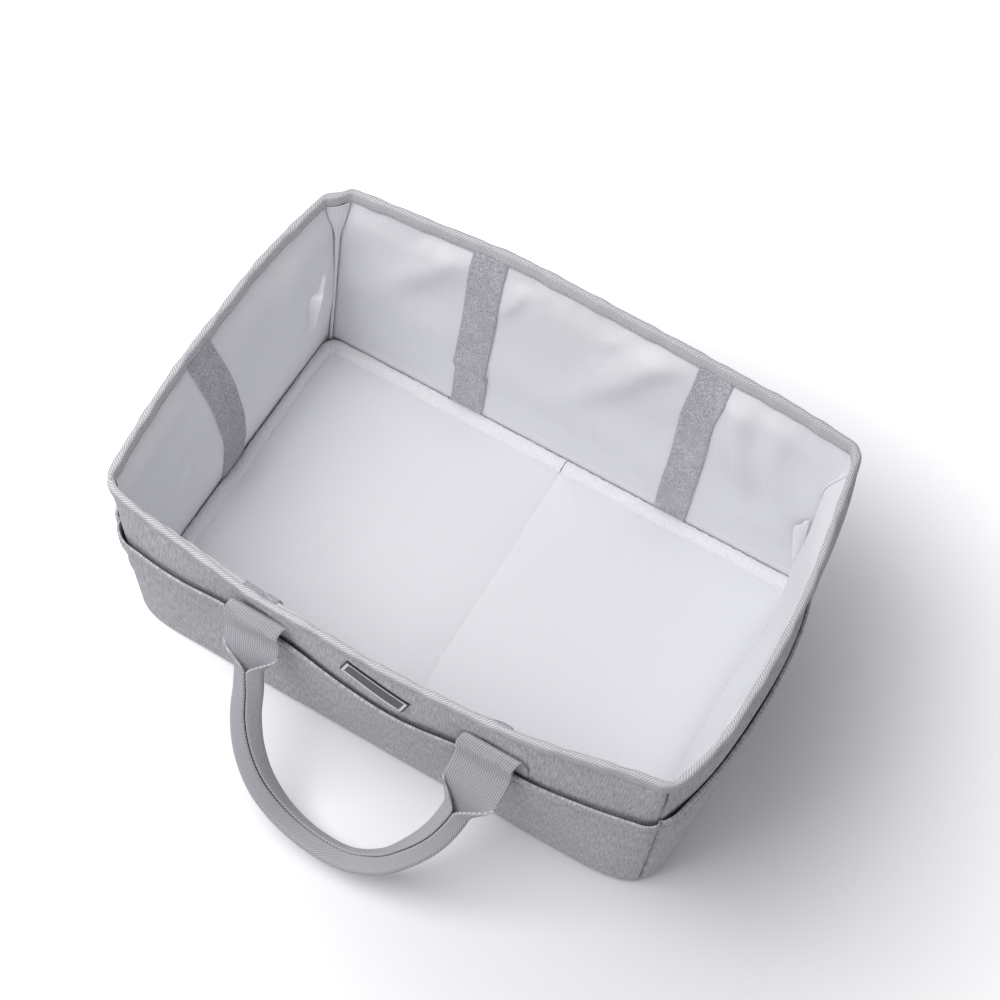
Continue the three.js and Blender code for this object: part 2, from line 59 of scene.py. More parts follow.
def add(tree, kind, inputs=None, **settings):
    """Adds a node with its settings; an input is a value or another node's output socket."""
    made = tree.nodes.new(kind)
    for name, value in settings.items():
        setattr(made, name, value)
    for socket, value in (inputs or {}).items():
        if isinstance(value, bpy.types.NodeSocket):
            tree.links.new(value, made.inputs[socket])
        else:
            made.inputs[socket].default_value = value
    return made


def seen_directly(tree):
    """1 where a surface is seen, straight or by a mirror or glass, and 0 where its light only bounces."""
    path = add(tree, "ShaderNodeLightPath").outputs
    mirrored = add(tree, "ShaderNodeMath", {
        0: path["Is Glossy Ray"], 1: path["Is Transmission Ray"]}, operation="MAXIMUM")
    return add(tree, "ShaderNodeMath", {
        0: path["Is Camera Ray"], 1: mirrored.outputs[0]}, operation="MAXIMUM").outputs[0]


CAMERA_TURN, CAMERA_TILT, CAMERA_ROLL = 24.592, 63.077, 6.0
CAMERA_DISTANCE = 1285.9
turn, tilt, roll = (math.radians(angle) for angle in (CAMERA_TURN, CAMERA_TILT, CAMERA_ROLL))
to_camera = Vector((math.sin(turn) * math.cos(tilt), -math.cos(turn) * math.cos(tilt), math.sin(tilt)))
level_right = Vector((math.cos(turn), math.sin(turn), 0))
level_up = to_camera.cross(level_right)
camera_right = level_right * math.cos(roll) + level_up * math.sin(roll)
camera_up = level_up * math.cos(roll) - level_right * math.sin(roll)
camera = bpy.data.objects.new("camera", bpy.data.cameras.new("camera"))
camera.data.sensor_width = 36.0
camera.data.lens = 71.42
aim = Vector((-6.46, 26.6, 98.0)) * MM
camera.matrix_world = (
    Matrix.Translation(aim + to_camera * CAMERA_DISTANCE * MM)
    @ Matrix((camera_right, camera_up, to_camera)).transposed().to_4x4()
)
scene.collection.objects.link(camera)
scene.camera = camera

lamp = bpy.data.objects.new("soft_box", bpy.data.lights.new("soft_box", "AREA"))
lamp.data.energy = 9.3
lamp.data.size = 0.75
lamp.location = (-0.31, -0.33, 1.08)
lamp.rotation_euler = (lamp.location - Vector((0, 0, 0.1))).to_track_quat("Z", "Y").to_euler()
scene.collection.objects.link(lamp)

world = bpy.data.worlds.new("studio")
world.use_nodes = True
scene.world = world
sky = world.node_tree.nodes["Background"]
sky.inputs["Color"].default_value = tone("#fbfbff")
brightness = add(world.node_tree, "ShaderNodeMapRange", {
    "Value": seen_directly(world.node_tree), "To Min": 0.3, "To Max": 1.0})
world.node_tree.links.new(brightness.outputs[0], sky.inputs["Strength"])

floor_mesh = bpy.data.meshes.new("floor")
FLOOR_HALF, FLOOR_DROP = 4.0, 0.3 * MM
floor_ways = ((-1, -1), (1, -1), (1, 1), (-1, 1))
floor_corners = [(x * FLOOR_HALF, y * FLOOR_HALF, -FLOOR_DROP) for x, y in floor_ways]
floor_mesh.from_pydata(floor_corners, [], [(0, 1, 2, 3)])
floor = bpy.data.objects.new("floor", floor_mesh)
scene.collection.objects.link(floor)
# Seamless white paper: dull, with a painted glow that grows away from the box towards its far parts, so that
# it goes white there.
paper = bpy.data.materials.new("white_paper_sweep")
paper.use_nodes = True
paper_tree = paper.node_tree
paper_tree.nodes.remove(paper_tree.nodes["Principled BSDF"])
paper_bounce = add(paper_tree, "ShaderNodeBsdfDiffuse", {"Color": tone("#e4e4e6")})
paper_shown = add(paper_tree, "ShaderNodeBsdfDiffuse", {"Color": tone("#fdfdff")})
# Painted glow, seen by the camera only: its strength rises with the distance from a point towards the box's
# front right.
paper_away = add(paper_tree, "ShaderNodeVectorMath", {
    0: add(paper_tree, "ShaderNodeTexCoord").outputs["Object"], 1: (0.13, -0.07, 0)}, operation="DISTANCE")
painted_glow_strength = add(paper_tree, "ShaderNodeMapRange", {
    "Value": paper_away.outputs["Value"], "From Min": 0.1, "From Max": 0.55, "To Min": 0.02, "To Max": 0.74},
    interpolation_type="SMOOTHSTEP")
painted_paper_glow = add(paper_tree, "ShaderNodeEmission", {
    "Color": tone("#ffffff"), "Strength": painted_glow_strength.outputs[0]})
paper_and_painted_glow = add(paper_tree, "ShaderNodeAddShader", {0: paper_shown.outputs[0], 1: painted_paper_glow.outputs[0]})
paper_mix = add(paper_tree, "ShaderNodeMixShader", {
    0: seen_directly(paper_tree), 1: paper_bounce.outputs[0], 2: paper_and_painted_glow.outputs[0]})
paper_tree.links.new(paper_mix.outputs[0], paper_tree.nodes["Material Output"].inputs["Surface"])
floor_mesh.materials.append(paper)


# Wall boards: four sheets of stiff board, each sewn into its own wall between the outer cloth and
# the lining. They give the box its form, so the form of all the walls is worked out here.
HEIGHT = 196.0
RIM_HALF = (190.0, 126.0)
BASE_HALF = (200.0, 128.0)
BASE_SHIFT = -5.0
BOW_RISE = 1.5
LEFT_FOOT_BOW = 1.5
WALLS = ("front", "right", "back", "left")
# Belly of each wall at the rim, at shares of the way along it, walking round with the box at the left
RIM_BOW = {
    "front": ((-1, -0.93, -0.8, -0.6, -0.45, -0.2, 0.07, 0.3, 0.52, 0.76, 0.89, 1),
              (4, 7, 10, 14, 17.5, 19.5, 20, 18.5, 16, 7, 2, -1)),
    "right": ((-1, -0.90, -0.70, -0.37, 0.13, 0.34, 0.64, 1), (-4.5, 0.5, 7.5, 11, 10, 7.5, 2, -4.5)),
    "back": ((-1, -0.74, -0.44, 0.02, 0.32, 0.69, 1), (1.5, 6.5, 9, 11, 12, 5.5, 0)),
    "left": ((-1, -0.5, 0, 0.5, 0.83, 1), (0, 9.5, 10.5, 9.6, 6.0, 4)),
}
# The front wall leans out late at its left end, where its top edge also sags
FRONT_BOW_RISE = ((-1, -0.7, -0.3, 0.1, 0.5, 1), (3.6, 3.0, 2.0, 1.75, 1.45, 1.4))
FRONT_SAG = ((-1, -0.8, -0.6, -0.45, -0.2, 0.07, 0.3, 0.6, 1), (2, 6, 8.5, 9, 5, 4, 1.5, 0, 0))
# Lengths cut from the corner at each wall's end, on that wall and on the next one
CORNER_CUTS = {"front": (4.0, 4.0), "right": (4.0, 5.5), "back": (11.0, 13.0), "left": (2.0, 2.0)}
# The right wall bellies out at the pocket's mouth, and leans in towards the back corner
LEAN_LEVEL, LEAN_END = 135.0, 172.0
RIGHT_LEAN = ((-1, -0.92, -0.77, -0.3, 0.28, 0.47, 0.63, 0.866, 1), (-3, -2.5, 0, 5.2, 4.2, 0, -4.2, -9, -10))
# Under the binding the right wall stands out again, most in its back half
RIGHT_SHOULDER = ((-1, -0.6, 0, 0.3, 0.85, 1), (0, 0.5, 1.5, 3.0, 2.6, 0.5))
SHOULDER_LEVEL, SHOULDER_HEIGHT = 174.0, 12.0
CORNER_SOFTNESS = 2.3
SLACK_CORNER_SOFTNESS, SLACK_CORNER_REACH = 24.0, 55.0
SEAM_STEPS = np.array((0.3, 1.0, 2.0, 3.4, 5.2, 7.6))
COLUMN_STEP = 2.7
BOARD_OUTSIDE, BOARD_INSIDE = -1.3, -3.5


def through(places, values, at):
    """A smooth curve through points, read at other places."""
    places, values = np.asarray(places, float), np.asarray(values, float)
    slopes = np.gradient(values, places, axis=0)
    at = np.clip(np.asarray(at, float), places[0], places[-1])
    k = np.clip(np.searchsorted(places, at, side="right") - 1, 0, len(places) - 2)
    width = places[k + 1] - places[k]
    t = (at - places[k]) / width
    if values.ndim > 1:
        width, t = width[:, None], t[:, None]
    return (
        values[k] * (2 * t**3 - 3 * t**2 + 1) + slopes[k] * width * (t**3 - 2 * t**2 + t)
        + values[k + 1] * (3 * t**2 - 2 * t**3) + slopes[k + 1] * width * (t**3 - t**2)
    )


def eased(value, start, end):
    """0 before start, 1 after end, and smooth between them."""
    t = np.clip((np.asarray(value, float) - start) / (end - start), 0, 1)
    return t * t * (3 - 2 * t)


column_wall, column_place, column_share, column_walk = [], [], [], []
walked = 0.0
for number, wall in enumerate(WALLS):
    half = (RIM_HALF[number % 2] + BASE_HALF[number % 2]) / 2
    inner = half - SEAM_STEPS[-1] - COLUMN_STEP
    middle = np.linspace(-inner, inner, round(2 * inner / COLUMN_STEP) + 1)
    place = np.concatenate([-(half - SEAM_STEPS), middle, (half - SEAM_STEPS)[::-1]])
    column_wall += [number] * len(place)
    column_place.append(place)
    column_share.append(place / half)
    column_walk.append(walked + half + place)
    walked += 2 * half
column_wall = np.array(column_wall)
long_wall = column_wall % 2 == 0
wall_half = np.where(long_wall, RIM_HALF[0] + BASE_HALF[0], RIM_HALF[1] + BASE_HALF[1]) / 2
column_place, column_share, column_walk = map(np.concatenate, (column_place, column_share, column_walk))
of_wall = {wall: np.flatnonzero(column_wall == number) for number, wall in enumerate(WALLS)}
rim_bow = np.concatenate([through(*RIM_BOW[wall], column_share[of_wall[wall]]) for wall in WALLS])
apart = np.abs(column_walk[:, None] - column_walk[None, :])
apart = np.minimum(apart, walked - apart)
spacing = (np.roll(column_walk, -1) - np.roll(column_walk, 1)) % walked


def rounding(softness):
    """Weights that round the corners of a line of columns."""
    weights = np.exp(-0.5 * (apart / softness) ** 2) * spacing[None, :]
    return weights / weights.sum(axis=1, keepdims=True)


corner_rounding, slack_rounding = rounding(CORNER_SOFTNESS), rounding(SLACK_CORNER_SOFTNESS)
# The front corners are drawn in at the floor, where no board holds them out
slack_corners = [column_walk[of_wall[wall]][0] for wall in ("front", "right")]
to_corner = np.abs(column_walk[:, None] - np.array(slack_corners))
to_corner = np.minimum(to_corner, walked - to_corner).min(axis=1)
slackness = np.exp(-((to_corner / SLACK_CORNER_REACH) ** 2))
starts = column_place < 0
cut_here = np.array([CORNER_CUTS[WALLS[w - 1]][1] if s else CORNER_CUTS[WALLS[w]][0]
                     for w, s in zip(column_wall, starts)])
cut_beyond = np.array([CORNER_CUTS[WALLS[w - 1]][0] if s else CORNER_CUTS[WALLS[w]][1]
                       for w, s in zip(column_wall, starts)])
bow_rise = np.where(column_wall == 0, through(*FRONT_BOW_RISE, column_share), BOW_RISE)
rim_sag = np.where(column_wall == 0, through(*FRONT_SAG, column_share), 0)
rim_sag[column_wall == 3] = FRONT_SAG[1][0] * np.clip(column_share[column_wall == 3], 0, 1) ** 8
right_lean = np.where(column_wall == 1, through(*RIGHT_LEAN, column_share), 0)
right_shoulder = np.where(column_wall == 1, through(*RIGHT_SHOULDER, column_share), 0)
back_lean = np.where(column_wall == 2, -RIGHT_LEAN[1][-1] * np.clip((0.7 - column_share) / 1.7, 0, 1) ** 3, 0)
# Both long walls are drawn in at the rim with the right wall's ends
drawn_in = np.where(column_wall == 0, RIM_BOW["right"][1][0] * np.clip(2 * column_share - 1, 0, 1) ** 2, 0)
drawn_in -= np.where(column_wall == 2, RIM_BOW["right"][1][-1] * np.clip(-2 * column_share - 1, 0, 1) ** 2, 0)
rim_wave = 0.8 * np.sin(column_walk / 61 + 0.6) + 0.6 * np.sin(column_walk / 27 + 2.0)
rim_wave += 0.3 * np.sin(column_walk / 11)
rim_wave *= 1 - 0.7 * (column_wall == 2) * (1 - column_share**4)
quarter_cos, quarter_sin = np.array((1, 0, -1, 0))[column_wall], np.array((0, 1, 0, -1))[column_wall]


def cut_share(levels):
    """The share of the corners' cuts at some levels; they are widest at the rim."""
    return 0.5 + 0.5 * eased(levels, 140, 190)


def box_form(levels):
    """The outer face of the walls at some levels, and the directions that point out of it."""
    z = np.asarray(levels, float)[:, None]
    share = z / HEIGHT
    half = [BASE_HALF[k] + (RIM_HALF[k] - BASE_HALF[k]) * share for k in (0, 1)]
    bow = rim_bow * np.clip(share, 0, None) ** bow_rise
    length = np.where(long_wall, half[0], half[1])
    below_rim = 1 - eased(z, LEAN_LEVEL, LEAN_END)
    risen = np.clip(z / LEAN_LEVEL, 0, 1) * below_rim
    lean = right_lean * (risen + (below_rim - risen) * eased(column_share, 0.35, 0.6))
    lean = lean + right_shoulder * np.exp(-(((z - SHOULDER_LEVEL) / SHOULDER_HEIGHT) ** 2))
    from_end = (1 - np.abs(column_share)) * length
    cut_size = cut_share(z)
    cut = np.clip(1 - from_end / (cut_here * cut_size), 0, 1) * cut_size
    along = np.sign(column_share) * (length - from_end - cut * cut_here / 2) + back_lean * below_rim
    along = along + drawn_in * np.clip(share, 0, None) ** BOW_RISE
    foot_bow = np.where(column_wall == 3, LEFT_FOOT_BOW * (1 - column_share**2), 0) * np.clip(1 - share, 0, 1)
    out = np.where(long_wall, half[1], half[0]) + bow + foot_bow + lean - cut * cut_beyond / 2
    x = quarter_cos * along + quarter_sin * out
    y = quarter_sin * along - quarter_cos * out
    slack = slackness * np.clip(1 - share, 0, 1)
    x, y = ((line @ corner_rounding.T) * (1 - slack) + (line @ slack_rounding.T) * slack for line in (x, y))
    run_x, run_y = (np.roll(line, -1, axis=1) - np.roll(line, 1, axis=1) for line in (x, y))
    run = np.hypot(run_x, run_y)
    lift = rim_wave * np.clip(share, 0, None) ** 3 - rim_sag * np.clip(share, 0, None) ** 5
    points = np.stack([x + BASE_SHIFT * (1 - share), y, z + lift], axis=2)
    outward = np.stack([run_y / run, -run_x / run, np.zeros_like(x)], axis=2)
    return points, outward


def pressed(levels):
    """The share of their depth that the inner layers keep; the binding presses them together."""
    return 1 - 0.5 * eased(np.asarray(levels, float)[:, None], 158, 187)


def wall_layer(wall, levels, push):
    """Points of one layer of a wall, pushed out by so many millimetres; push may be an array."""
    points, outward = box_form(levels)
    columns = of_wall[wall]
    push = np.broadcast_to(np.asarray(push, float), points.shape[:2])
    return points[:, columns] + outward[:, columns] * push[:, columns, None]


def woven(name, loops, weave, material, ring=False, crease=40):
    """A closed body from lines of points, the first half of them its outside and the rest its inside.
    loops is (lines, columns, xyz) in millimetres, weave the same points' places on the flat cloth."""
    lines, columns = loops.shape[:2]
    index = np.arange(lines * columns).reshape(lines, columns)
    across = columns if ring else columns - 1
    r, c = (grid.ravel() for grid in np.meshgrid(np.arange(lines), np.arange(across), indexing="ij"))
    r_next, c_next = (r + 1) % lines, (c + 1) % columns
    faces = np.stack([index[r, c], index[r, c_next], index[r_next, c_next], index[r_next, c]], axis=1)
    uv = np.stack([weave[r, c], weave[r, c + 1], weave[r + 1, c + 1], weave[r + 1, c]], axis=1)
    if not ring:
        r = np.arange(lines // 2 - 1)
        pair = np.stack([r, r + 1, lines - 2 - r, lines - 1 - r], axis=1)
        for column, order in ((0, [0, 1, 2, 3]), (columns - 1, [3, 2, 1, 0])):
            faces = np.concatenate([faces, index[pair[:, order], column]])
            uv = np.concatenate([uv, weave[pair[:, order], column]])
    mesh = bpy.data.meshes.new(name)
    mesh.from_pydata((loops.reshape(-1, 3) * MM).tolist(), [], faces.tolist())
    layer = mesh.uv_layers.new(name="weave")
    layer.data.foreach_set("uv", (uv * MM).astype(np.float32).ravel())
    mesh.polygons.foreach_set("use_smooth", np.ones(len(mesh.polygons), bool))
    mesh.set_sharp_from_angle(angle=math.radians(crease))
    mesh.materials.append(material)
    piece = bpy.data.objects.new(name, mesh)
    scene.collection.objects.link(piece)
    return piece


def doubled(outside, inside):
    """The lines of a cloth's outside from foot to top, and of its inside from top to foot."""
    return np.concatenate([outside, inside[::-1]])


def both_sides(places):
    """Places on the flat cloth for the lines of its outside and its inside, and the first line again."""
    return np.concatenate([places, places[::-1], places[:1]])


def flat_cloth(points):
    """Places on the flat cloth of a layer's points: along the wall and up it, for outside and inside."""
    along = np.zeros(points.shape[:2])
    along[:, 1:] = np.cumsum(np.linalg.norm(np.diff(points, axis=1), axis=2), axis=1)
    along -= along.mean(axis=1, keepdims=True)
    up = np.zeros(points.shape[:2])
    up[1:] = np.cumsum(np.linalg.norm(np.diff(points, axis=0), axis=2), axis=0)
    return both_sides(np.stack([along, up], axis=2))


def wall_cloth(name, wall, levels, out, within, material):
    """A closed sheet on one wall, between two faces that are pushed out of the plain form by so much."""
    outside, inside = (wall_layer(wall, levels, push) for push in (out, within))
    return woven(name, doubled(outside, inside), flat_cloth(outside), material)


def finish_of(name, roughness, **values):
    """A new material with its shader's plain values set; gives the material, its tree and its shader."""
    material = bpy.data.materials.new(name)
    material.use_nodes = True
    shader = material.node_tree.nodes["Principled BSDF"]
    shader.inputs["Roughness"].default_value = roughness
    for socket, value in values.items():
        shader.inputs[socket.replace("_", " ")].default_value = value
    return material, material.node_tree, shader


def coloured(tree, shader, share, dark, light, height=None, strength=0.0, depth=0.0):
    """Colours a surface between two tones by one pattern, and may raise it by another, that many mm high."""
    colour = add(tree, "ShaderNodeMix", {0: share, 6: tone(dark), 7: tone(light)}, data_type="RGBA")
    tree.links.new(colour.outputs[2], shader.inputs["Base Color"])
    if height is not None:
        relief = add(tree, "ShaderNodeBump", {"Strength": strength, "Distance": depth * MM, "Height": height})
        tree.links.new(relief.outputs[0], shader.inputs["Normal"])


def band_scale(size):
    """The scale of a wave texture whose bands are so many millimetres apart."""
    return math.pi / 10 / (size * MM)


def fit(piece, body, slot, *nodes):
    """The piece stands for these nodes, whose parts are hidden, and rides on that body; slot is not used."""
    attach(piece, body)
    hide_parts(*nodes)
    return piece


# Grey paperboard, pressed and uncoated: dull, with the fine mottle of its fibres.
grey_board, tree, shader = finish_of("pressed_paperboard", 0.95)
fibres = add(tree, "ShaderNodeTexNoise", {
    "Vector": add(tree, "ShaderNodeTexCoord").outputs["Object"], "Scale": 1 / (4 * MM), "Detail": 4.0})
coloured(tree, shader, fibres.outputs["Fac"], "#87868a", "#a2a1a5")

board_levels = np.concatenate([np.linspace(3, 150, 9), np.linspace(156, 190, 12)])
for wall in WALLS:
    out, within = (depth * pressed(board_levels) for depth in (BOARD_OUTSIDE, BOARD_INSIDE))
    board = wall_cloth(f"wall_board_{wall}", wall, board_levels, out, within, grey_board)
    fit(board, "caddy", "stiffener", f"board_{wall}")


# Outer cloth: heathered polyester canvas, cut as four wall panels and a bottom, seamed at the corners.
# The seams turn in, and the cloth rolls under at the floor.
CLOTH = 1.0
FOOT_ROLL, FOOT_ROLL_HEIGHT = 3.4, 9.0
SEAM_TURN, SEAM_TURN_WIDTH = 2.0, 1.4
FLOOR_EDGE_SOFTNESS = 0.6
# The walls belly out at the level of the pockets' mouths, between the seams and the handles' ends
MOUTH = 135.0
MOUTH_GAP = 1.9
MOUTH_BULGE = {
    "front": ((-1, -0.965, -0.86, -0.7, -0.54, -0.42, -0.3, -0.08,
               0.12, 0.29, 0.42, 0.54, 0.72, 0.9, 0.965, 1),
              (0.2, 4.6, 7.0, 7.4, 4.2, 2.6, 3.6, 8.0, 9.6, 6.0, 2.6, 5.2, 5.6, 4.2, 3.2, 0.2)),
    "right": ((-1, -0.94, -0.8, -0.5, -0.2, 0.2, 0.6, 0.9, 1), (0.0, 1.6, 0.6, 0.2, 0.1, 0.0, 0.0, 0.0, 0.0)),
    "back": ((-1, -0.965, -0.86, -0.7, -0.54, -0.42, -0.3, -0.1, 0.1, 0.3, 0.42, 0.54, 0.7, 0.86, 0.965, 1),
             (0.2, 3.4, 5.4, 6.4, 4.6, 2.6, 4.4, 8.4, 8.8, 4.8, 2.6, 4.4, 6.0, 5.2, 3.2, 0.2)),
    "left": ((-1, -0.9, -0.6, -0.2, 0.2, 0.6, 0.9, 1), (0.2, 3.2, 6.8, 9.2, 9.4, 7.0, 3.2, 0.2)),
}
mouth_bulge = np.concatenate([through(*MOUTH_BULGE[wall], column_share[of_wall[wall]]) for wall in WALLS])

# Heathered canvas: dyed and undyed yarns spun together, which gives short streaks along the warp and
# weft. The yarns are 0.5 mm; they are drawn at about 1 mm, or they would not show.
heather_canvas, tree, shader = finish_of("heathered_canvas", 0.92, Sheen_Weight=0.15, Sheen_Roughness=0.5)
canvas_uv = add(tree, "ShaderNodeTexCoord").outputs["UV"]
streak_parts = []
for yarn, streak, seed in ((0.9, 11.0, 0.0), (9.0, 0.9, 40.0)):
    laid = add(tree, "ShaderNodeMapping", {
        "Vector": canvas_uv, "Location": (seed, seed, 0), "Scale": (1 / (yarn * MM), 1 / (streak * MM), 1)})
    streak_parts.append(add(tree, "ShaderNodeTexNoise", {
        "Vector": laid.outputs[0], "Scale": 1.0, "Detail": 3.0, "Roughness": 0.62}).outputs["Fac"])
streaks = add(tree, "ShaderNodeMix", {0: 0.3, 2: streak_parts[0], 3: streak_parts[1]}, data_type="FLOAT")
heather = add(tree, "ShaderNodeMapRange", {"Value": streaks.outputs[0], "From Min": 0.35, "From Max": 0.65})
yarn_waves = [add(tree, "ShaderNodeTexWave", {
    "Vector": canvas_uv, "Scale": band_scale(1.1), "Distortion": 1.2, "Detail": 1.0},
    bands_direction=direction).outputs["Fac"] for direction in ("X", "Y")]
yarns = add(tree, "ShaderNodeMath", {0: yarn_waves[0], 1: yarn_waves[1]}, operation="ADD")
coloured(tree, shader, heather.outputs[0], "#949298", "#e2e0e5", yarns.outputs[0], strength=0.35, depth=0.25)


def foot_roll(levels):
    """How far the cloth is drawn in at some levels where it rolls under at the floor."""
    share = np.clip(1 - np.asarray(levels, float) / FOOT_ROLL_HEIGHT, 0, 1)
    return -FOOT_ROLL * share[:, None] ** 2


# How far each column is drawn in by the seam at its corner
to_seam = wall_half - np.abs(column_place)
seam_turn = -SEAM_TURN * np.exp(-((to_seam / SEAM_TURN_WIDTH) ** 2))


def ripple(place, level, size, seed):
    """Gentle uneven waves of about that size over a cloth, between about -1 and 1."""
    draw = np.random.default_rng(seed)
    total = 0
    for _ in range(7):
        heading, phase = draw.uniform(0, 2 * np.pi, 2)
        length = size * draw.uniform(0.6, 1.5)
        way = place * np.cos(heading) + level * np.sin(heading)
        total = total + np.sin(2 * np.pi * way / length + phase)
    return total / 4


def creases(place, level, lines):
    """Ridges along lines drawn on a cloth, dying away downwards: each is its points, width and height."""
    total = np.zeros(np.broadcast(place, level).shape)
    for points, width, height in lines:
        nearest = np.full(total.shape, np.inf)
        for (place_a, level_a), (place_b, level_b) in zip(points, points[1:]):
            run, rise = place_b - place_a, level_b - level_a
            t = np.clip(((place - place_a) * run + (level - level_a) * rise) / (run**2 + rise**2), 0, 1)
            nearest = np.minimum(nearest, np.hypot(place - place_a - t * run, level - level_a - t * rise))
        (_, top), (_, foot) = points[0], points[-1]
        total += height * np.exp(-((nearest / width) ** 2)) * eased(level, foot, foot + 0.7 * (top - foot))
    return total


outer_creases = {
    "front": [],
    "right": [
        (((-70, 188), (-58, 160), (-50, 138)), 4, 1.0), (((-86, 175), (-76, 150)), 3, 0.9),
        (((-20, 190), (-8, 150)), 6, 0.8), (((40, 186), (28, 150)), 6, 0.8)],
    "back": [(((-90, 186), (-60, 150)), 6, 0.8), (((70, 188), (40, 146)), 6, 0.8)],
    "left": [(((30, 186), (20, 150)), 6, 0.8), (((-40, 186), (-50, 146)), 6, 0.8)],
}


def outer_push(number, wall, levels):
    """How far the outer cloth of a wall stands out of the plain form of the box."""
    z = np.asarray(levels, float)[:, None]
    slack = 0.5 + 0.5 * ripple(column_place, z, 85, 11 + number)
    belly = np.clip(mouth_bulge - MOUTH_GAP, 0, None) * eased(z, 20, 125) * (1 - eased(z, 140, 190))
    folds = creases(column_place, z, outer_creases[wall])
    return foot_roll(levels) + seam_turn + 0.8 * slack + belly + folds


outer_levels = np.concatenate([(1.5, 2.4, 3.6, 5.0, 7.0, 9.5), np.linspace(13, 194.4, 56)])
for number, wall in enumerate(WALLS):
    face = outer_push(number, wall, outer_levels)
    cloth = wall_cloth(f"outer_cloth_{wall}", wall, outer_levels, face, face - CLOTH, heather_canvas)
    fit(cloth, "caddy", "outer_cloth", f"outer_{wall}")


def floor_cloth(name, level, thickness, inset, material):
    """A flat panel inside the foot of the walls, drawn in by so much, with a soft edge."""
    foot, outward = box_form([level])
    edge = (foot[0] - outward[0] * inset)[::2]
    centre = edge.mean(axis=0)
    shares = np.array((1.0, 0.99, 0.93, 0.8, 0.6, 0.4, 0.2, 0.02))
    rings = centre + (edge - centre) * shares[:, None, None]
    top, bottom = rings.copy(), rings.copy()
    drop = np.zeros(len(shares))
    drop[0] = FLOOR_EDGE_SOFTNESS * thickness / 2
    top[:, :, 2] = level + thickness - drop[:, None]
    bottom[:, :, 2] = level + drop[:, None]
    loops = np.concatenate([top[::-1], bottom])
    weave = loops[:, :, :2]
    weave = np.concatenate([weave, weave[:1]])
    weave = np.concatenate([weave, weave[:, :1]], axis=1)
    return woven(name, loops[::-1], weave[::-1], material, ring=True)


bottom_cloth = floor_cloth("outer_cloth_bottom", 0.0, 1.2, FOOT_ROLL + 0.2, heather_canvas)
fit(bottom_cloth, "caddy", "outer_cloth", "outer_bottom")


# Pockets: a second panel of the same canvas on each wall, sewn in at the floor and the corners, with a
# folded hem at its mouth. On the long walls the handle's ends also hold it, so it opens in three lobes.
HEM_DEPTH, HEM_EXTRA = 11.0, 1.1
POCKET_FLARE = 1.6
SEAM_PULL_WIDTH = 7.0
pocket_creases = {
    "front": [
        (((-176, 118), (-150, 92), (-126, 60)), 9, 1.6), (((-186, 84), (-165, 60), (-140, 34)), 7, 1.3),
        (((-96, 116), (-112, 84)), 7, 1.0), (((62, 118), (44, 92)), 7, 1.0), (((98, 118), (120, 84)), 8, 1.0),
        (((-60, 118), (-44, 90)), 6, 0.8)],
    "right": [
        (((-112, 112), (-84, 70)), 8, 1.3), (((96, 110), (70, 70)), 8, 1.2),
        (((-30, 100), (-10, 60)), 9, 0.9)],
    "back": [
        (((-98, 116), (-120, 80)), 8, 1.1), (((60, 116), (42, 88)), 7, 1.0),
        (((100, 116), (130, 76)), 8, 1.1)],
    "left": [(((-100, 110), (-76, 70)), 8, 1.2), (((104, 112), (80, 66)), 8, 1.2)],
}
pocket_levels = np.concatenate([
    (1.3, 2.2, 3.4, 4.8, 6.8, 9.4), np.linspace(12.5, MOUTH - HEM_DEPTH - 1.0, 36),
    MOUTH - HEM_DEPTH + np.array((-0.2, 0.6)), np.linspace(MOUTH - HEM_DEPTH + 2, MOUTH - 1.6, 5),
    (MOUTH - 0.9, MOUTH - 0.4, MOUTH - 0.1)])
seam_pull = np.exp(-((1 - np.abs(column_share)) * wall_half / SEAM_PULL_WIDTH) ** 2)


def pocket_face(number, wall, levels):
    """How far out a pocket's inner face lies, the extra of its hem, and how its mouth is rounded."""
    z = np.asarray(levels, float)[:, None]
    rise = np.clip(z / MOUTH, 0, 1)
    flare = rise**POCKET_FLARE
    belly = 2.2 * np.sin(np.pi * rise) * (1 - np.abs(column_share) ** 4)
    slack = 0.7 * (0.6 + ripple(column_place, z, 70, 31 + number))
    slack = slack * (1 - seam_pull) * np.sin(np.pi * rise) ** 0.5
    folds = creases(column_place, z, pocket_creases[wall])
    face = 1.0 + foot_roll(levels) + seam_turn + mouth_bulge * flare + belly + slack + folds
    hem = HEM_EXTRA * eased(z, MOUTH - HEM_DEPTH - 0.4, MOUTH - HEM_DEPTH + 0.8)
    rounded = np.sqrt(np.clip(1 - ((z - (MOUTH - 1.1)) / 1.15).clip(0, 1) ** 2, 0.02, 1))
    return face, hem, rounded


for number, wall in enumerate(WALLS):
    face, hem, rounded = pocket_face(number, wall, pocket_levels)
    middle = face + (CLOTH + hem) / 2
    half_cloth = (CLOTH + hem) / 2 * rounded
    pocket = wall_cloth(f"pocket_cloth_{wall}", wall, pocket_levels, middle + half_cloth, middle - half_cloth,
                        heather_canvas)
    fit(pocket, "caddy", "outer_cloth", f"pocket_{wall}")


# Lining: white polyester cloth, four walls and a floor, bagged out and loose, so it hangs in soft folds
# on the back wall, bellies in at the left end and sags over the insert at the right end.
LINING = 0.8
LINING_FACE = -4.6

# White oxford lining: fine ribbed plain weave with a faint sheen. The ribs are about 0.6 mm and are
# drawn at 1.1 mm.
white_lining, tree, shader = finish_of("white_oxford_lining", 0.7, Sheen_Weight=0.1, Sheen_Roughness=0.4)
lining_uv = add(tree, "ShaderNodeTexCoord").outputs["UV"]
lining_ribs = add(tree, "ShaderNodeTexWave", {
    "Vector": lining_uv, "Scale": band_scale(1.1), "Distortion": 1.5, "Detail": 2.0},
    bands_direction="X").outputs["Fac"]
coloured(tree, shader, lining_ribs, "#e3e3e9", "#f8f8fa", lining_ribs, strength=0.35, depth=0.2)

